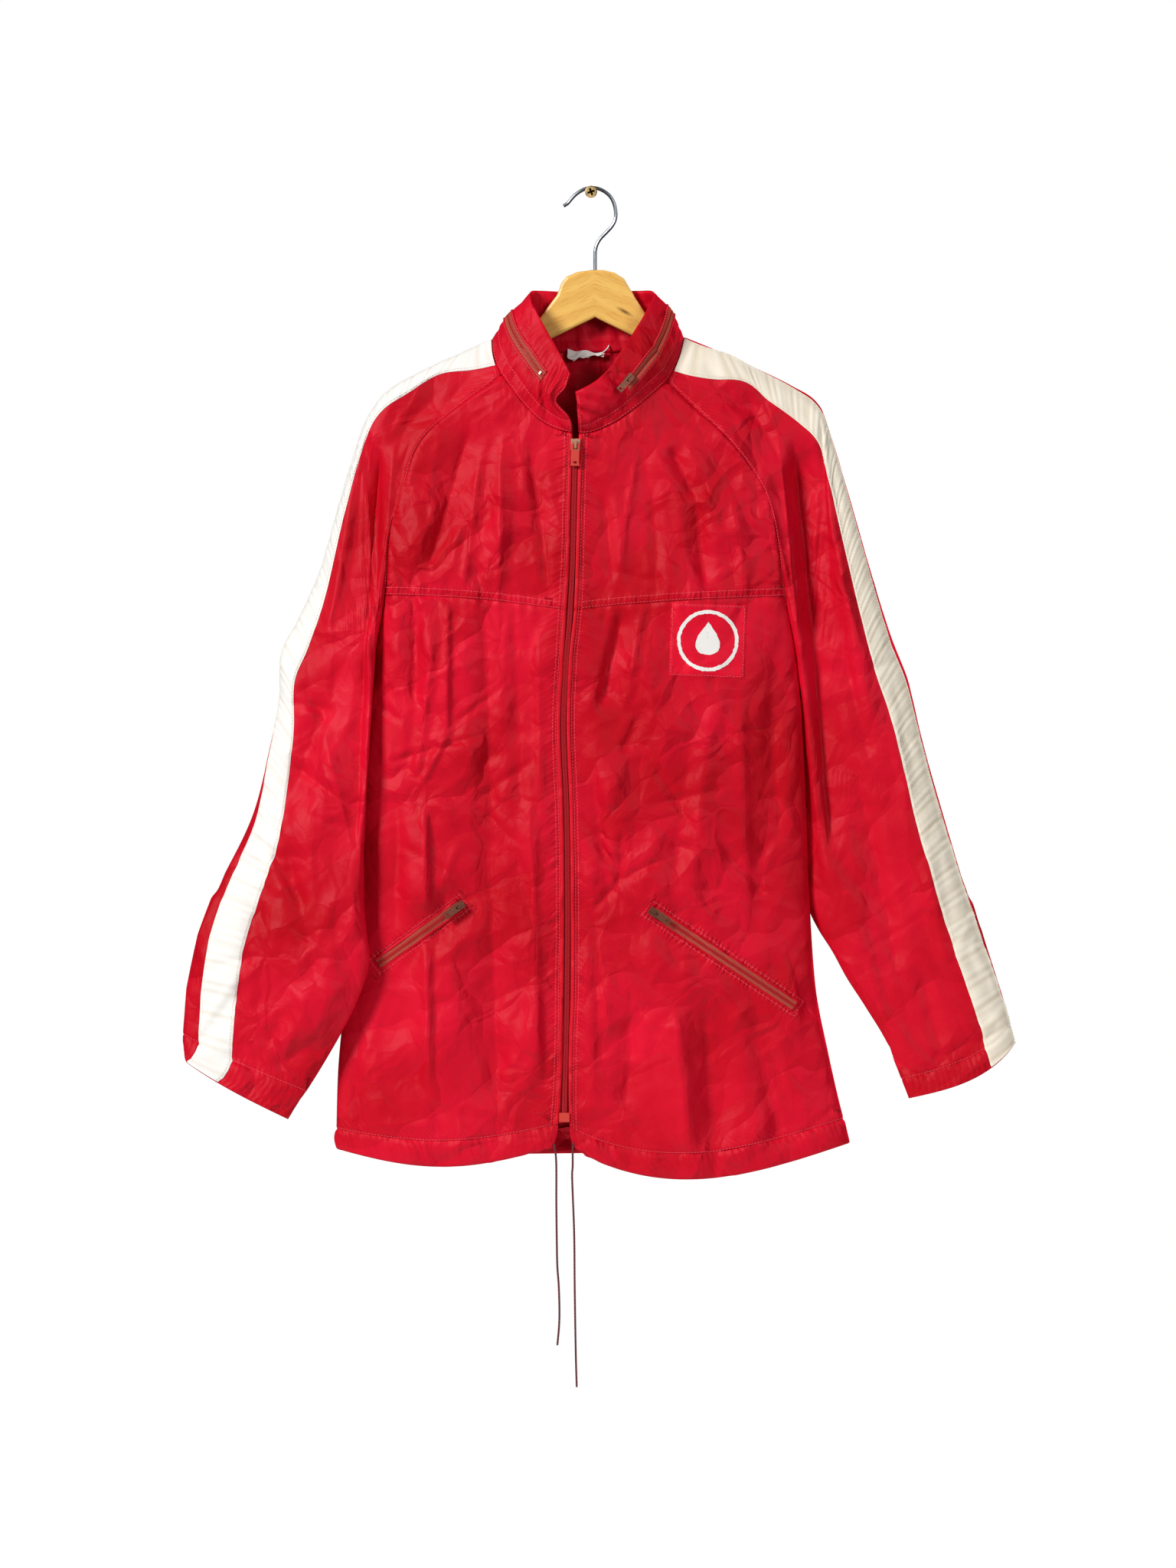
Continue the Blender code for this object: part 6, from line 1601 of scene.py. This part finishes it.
def varnished_maple():
    """Maple under satin varnish: warm and pale, with short fine grain along each arm that meets at a
    mitre in the middle, and one dark knot drawn out along the left arm."""
    material, tree, shader = new_material("varnished_maple", WOOD_LIGHT, 0.4, ior=1.52)
    place = add_node(tree, "ShaderNodeTexCoord").outputs["Object"]
    parts = add_node(tree, "ShaderNodeSeparateXYZ", Vector=place)
    aside = add_node(tree, "ShaderNodeMath", {"operation": "SUBTRACT"}, i0=parts.outputs["X"],
                     i1=MITRE_X * MM)
    aside = add_node(tree, "ShaderNodeMath", {"operation": "ABSOLUTE"}, i0=aside.outputs[0])
    across = add_node(tree, "ShaderNodeMath", {"operation": "MULTIPLY_ADD"}, i0=aside.outputs[0],
                      i1=ARM_SLOPE, i2=parts.outputs["Z"])
    long = add_node(tree, "ShaderNodeMath", {"operation": "MULTIPLY"}, i0=parts.outputs["X"], i1=0.12)
    pulled = add_node(tree, "ShaderNodeCombineXYZ", X=long.outputs[0], Y=parts.outputs["Y"],
                      Z=across.outputs[0])
    rings = add_node(tree, "ShaderNodeTexWave", {"bands_direction": "Z"}, Vector=pulled.outputs[0],
                     Scale=WAVE_SCALE / YEAR_RINGS, Distortion=7.0, Detail=3.0, Detail__Scale=0.6)
    pores = add_node(tree, "ShaderNodeTexNoise", Vector=pulled.outputs[0], Scale=1000 / 1.6, Detail=4.0)
    streaks = add_node(tree, "ShaderNodeMapRange", Value=pores.outputs["Fac"], From__Min=0.5, From__Max=0.68)
    faint = add_node(tree, "ShaderNodeMath", {"operation": "MULTIPLY"}, i0=rings.outputs["Fac"], i1=0.35)
    grain = add_node(tree, "ShaderNodeMath", {"operation": "MULTIPLY_ADD"}, i0=streaks.outputs["Result"],
                     i1=0.5, i2=faint.outputs[0])
    wood = add_node(tree, "ShaderNodeMix", {"data_type": "RGBA"}, i0=grain.outputs[0],
                    i6=(*linear(WOOD_LIGHT), 1), i7=(*linear(WOOD_DARK), 1))
    from_knot = add_node(tree, "ShaderNodeVectorMath", {"operation": "SUBTRACT"}, i0=place,
                         i1=tuple(v * MM for v in KNOT_AT))
    turned = add_node(tree, "ShaderNodeVectorRotate", {"rotation_type": "Y_AXIS"},
                      Vector=from_knot.outputs[0], Angle=math.radians(KNOT_TURN))
    shrunk = add_node(tree, "ShaderNodeVectorMath", {"operation": "MULTIPLY"}, i0=turned.outputs[0],
                      i1=(1000 / KNOT_SIZE[0], 0, 1000 / KNOT_SIZE[1]))
    far = add_node(tree, "ShaderNodeVectorMath", {"operation": "LENGTH"}, i0=shrunk.outputs[0])
    knot = add_node(tree, "ShaderNodeMapRange", Value=far.outputs["Value"], From__Min=0.2, From__Max=1.1,
                    To__Min=0.9, To__Max=0.0)
    colour = add_node(tree, "ShaderNodeMix", {"data_type": "RGBA"}, i0=knot.outputs["Result"],
                      i6=wood.outputs[2], i7=(*linear(WOOD_KNOT), 1))
    bump = add_node(tree, "ShaderNodeBump", Height=grain.outputs[0], Distance=0.08 * MM)
    tree.links.new(colour.outputs[2], shader.inputs["Base Color"])
    tree.links.new(bump.outputs["Normal"], shader.inputs["Normal"])
    return material


def plated(name, hexcode, roughness):
    """Bright plating on steel: mirror-like, with faint handling marks."""
    material, tree, shader = new_material(name, hexcode, roughness, metallic=1.0)
    place = add_node(tree, "ShaderNodeTexCoord").outputs["Object"]
    marks = add_node(tree, "ShaderNodeTexNoise", Vector=place, Scale=1000 / 6, Detail=3.0)
    rough = add_node(tree, "ShaderNodeMapRange", Value=marks.outputs["Fac"], To__Min=roughness * 0.6,
                     To__Max=roughness * 1.6)
    tree.links.new(rough.outputs["Result"], shader.inputs["Roughness"])
    return material


def screw_plating():
    """Yellow-passivated zinc on the screw, pale and bright, with painted shade in its cross slot."""
    material = plated("yellow_plated_steel", SCREW_COLOUR, 0.42)
    tree = material.node_tree
    place = add_node(tree, "ShaderNodeTexCoord").outputs["Object"]
    parts = add_node(tree, "ShaderNodeSeparateXYZ", Vector=place)
    sunk = add_node(tree, "ShaderNodeMapRange", Value=parts.outputs["Y"],
                    From__Min=(0.3 - SCREW_FACE) * MM, From__Max=(0.9 - SCREW_FACE) * MM)
    level = add_node(tree, "ShaderNodeCombineXYZ", X=parts.outputs["X"], Z=parts.outputs["Z"])
    middle = add_node(tree, "ShaderNodeVectorMath", {"operation": "LENGTH"}, i0=level.outputs[0])
    inside = add_node(tree, "ShaderNodeMath", {"operation": "LESS_THAN"}, i0=middle.outputs["Value"],
                      i1=CROSS_REACH * MM)
    # The slot below the head's face is painted near black: painted shade in the recess.
    slot_shade = add_node(tree, "ShaderNodeMath", {"operation": "MULTIPLY"}, i0=sunk.outputs["Result"],
                     i1=inside.outputs[0])
    colour = add_node(tree, "ShaderNodeMix", {"data_type": "RGBA"}, i0=slot_shade.outputs[0],
                      i6=(*linear(SCREW_COLOUR), 1), i7=(*linear(SLOT_SHADE_COLOUR), 1))
    tree.links.new(colour.outputs[2], tree.nodes["Principled BSDF"].inputs["Base Color"])
    return material


give("hanger_body", varnished_maple())
give("hanger_hook", plated("chromed_wire", HOOK_COLOUR, 0.34))
give("wall_screw", screw_plating())
for node in ("hanger_body", "hanger_hook", "wall_screw"):
    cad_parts[node].data.shade_smooth()
    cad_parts[node].data.set_sharp_from_angle(angle=math.radians(42))
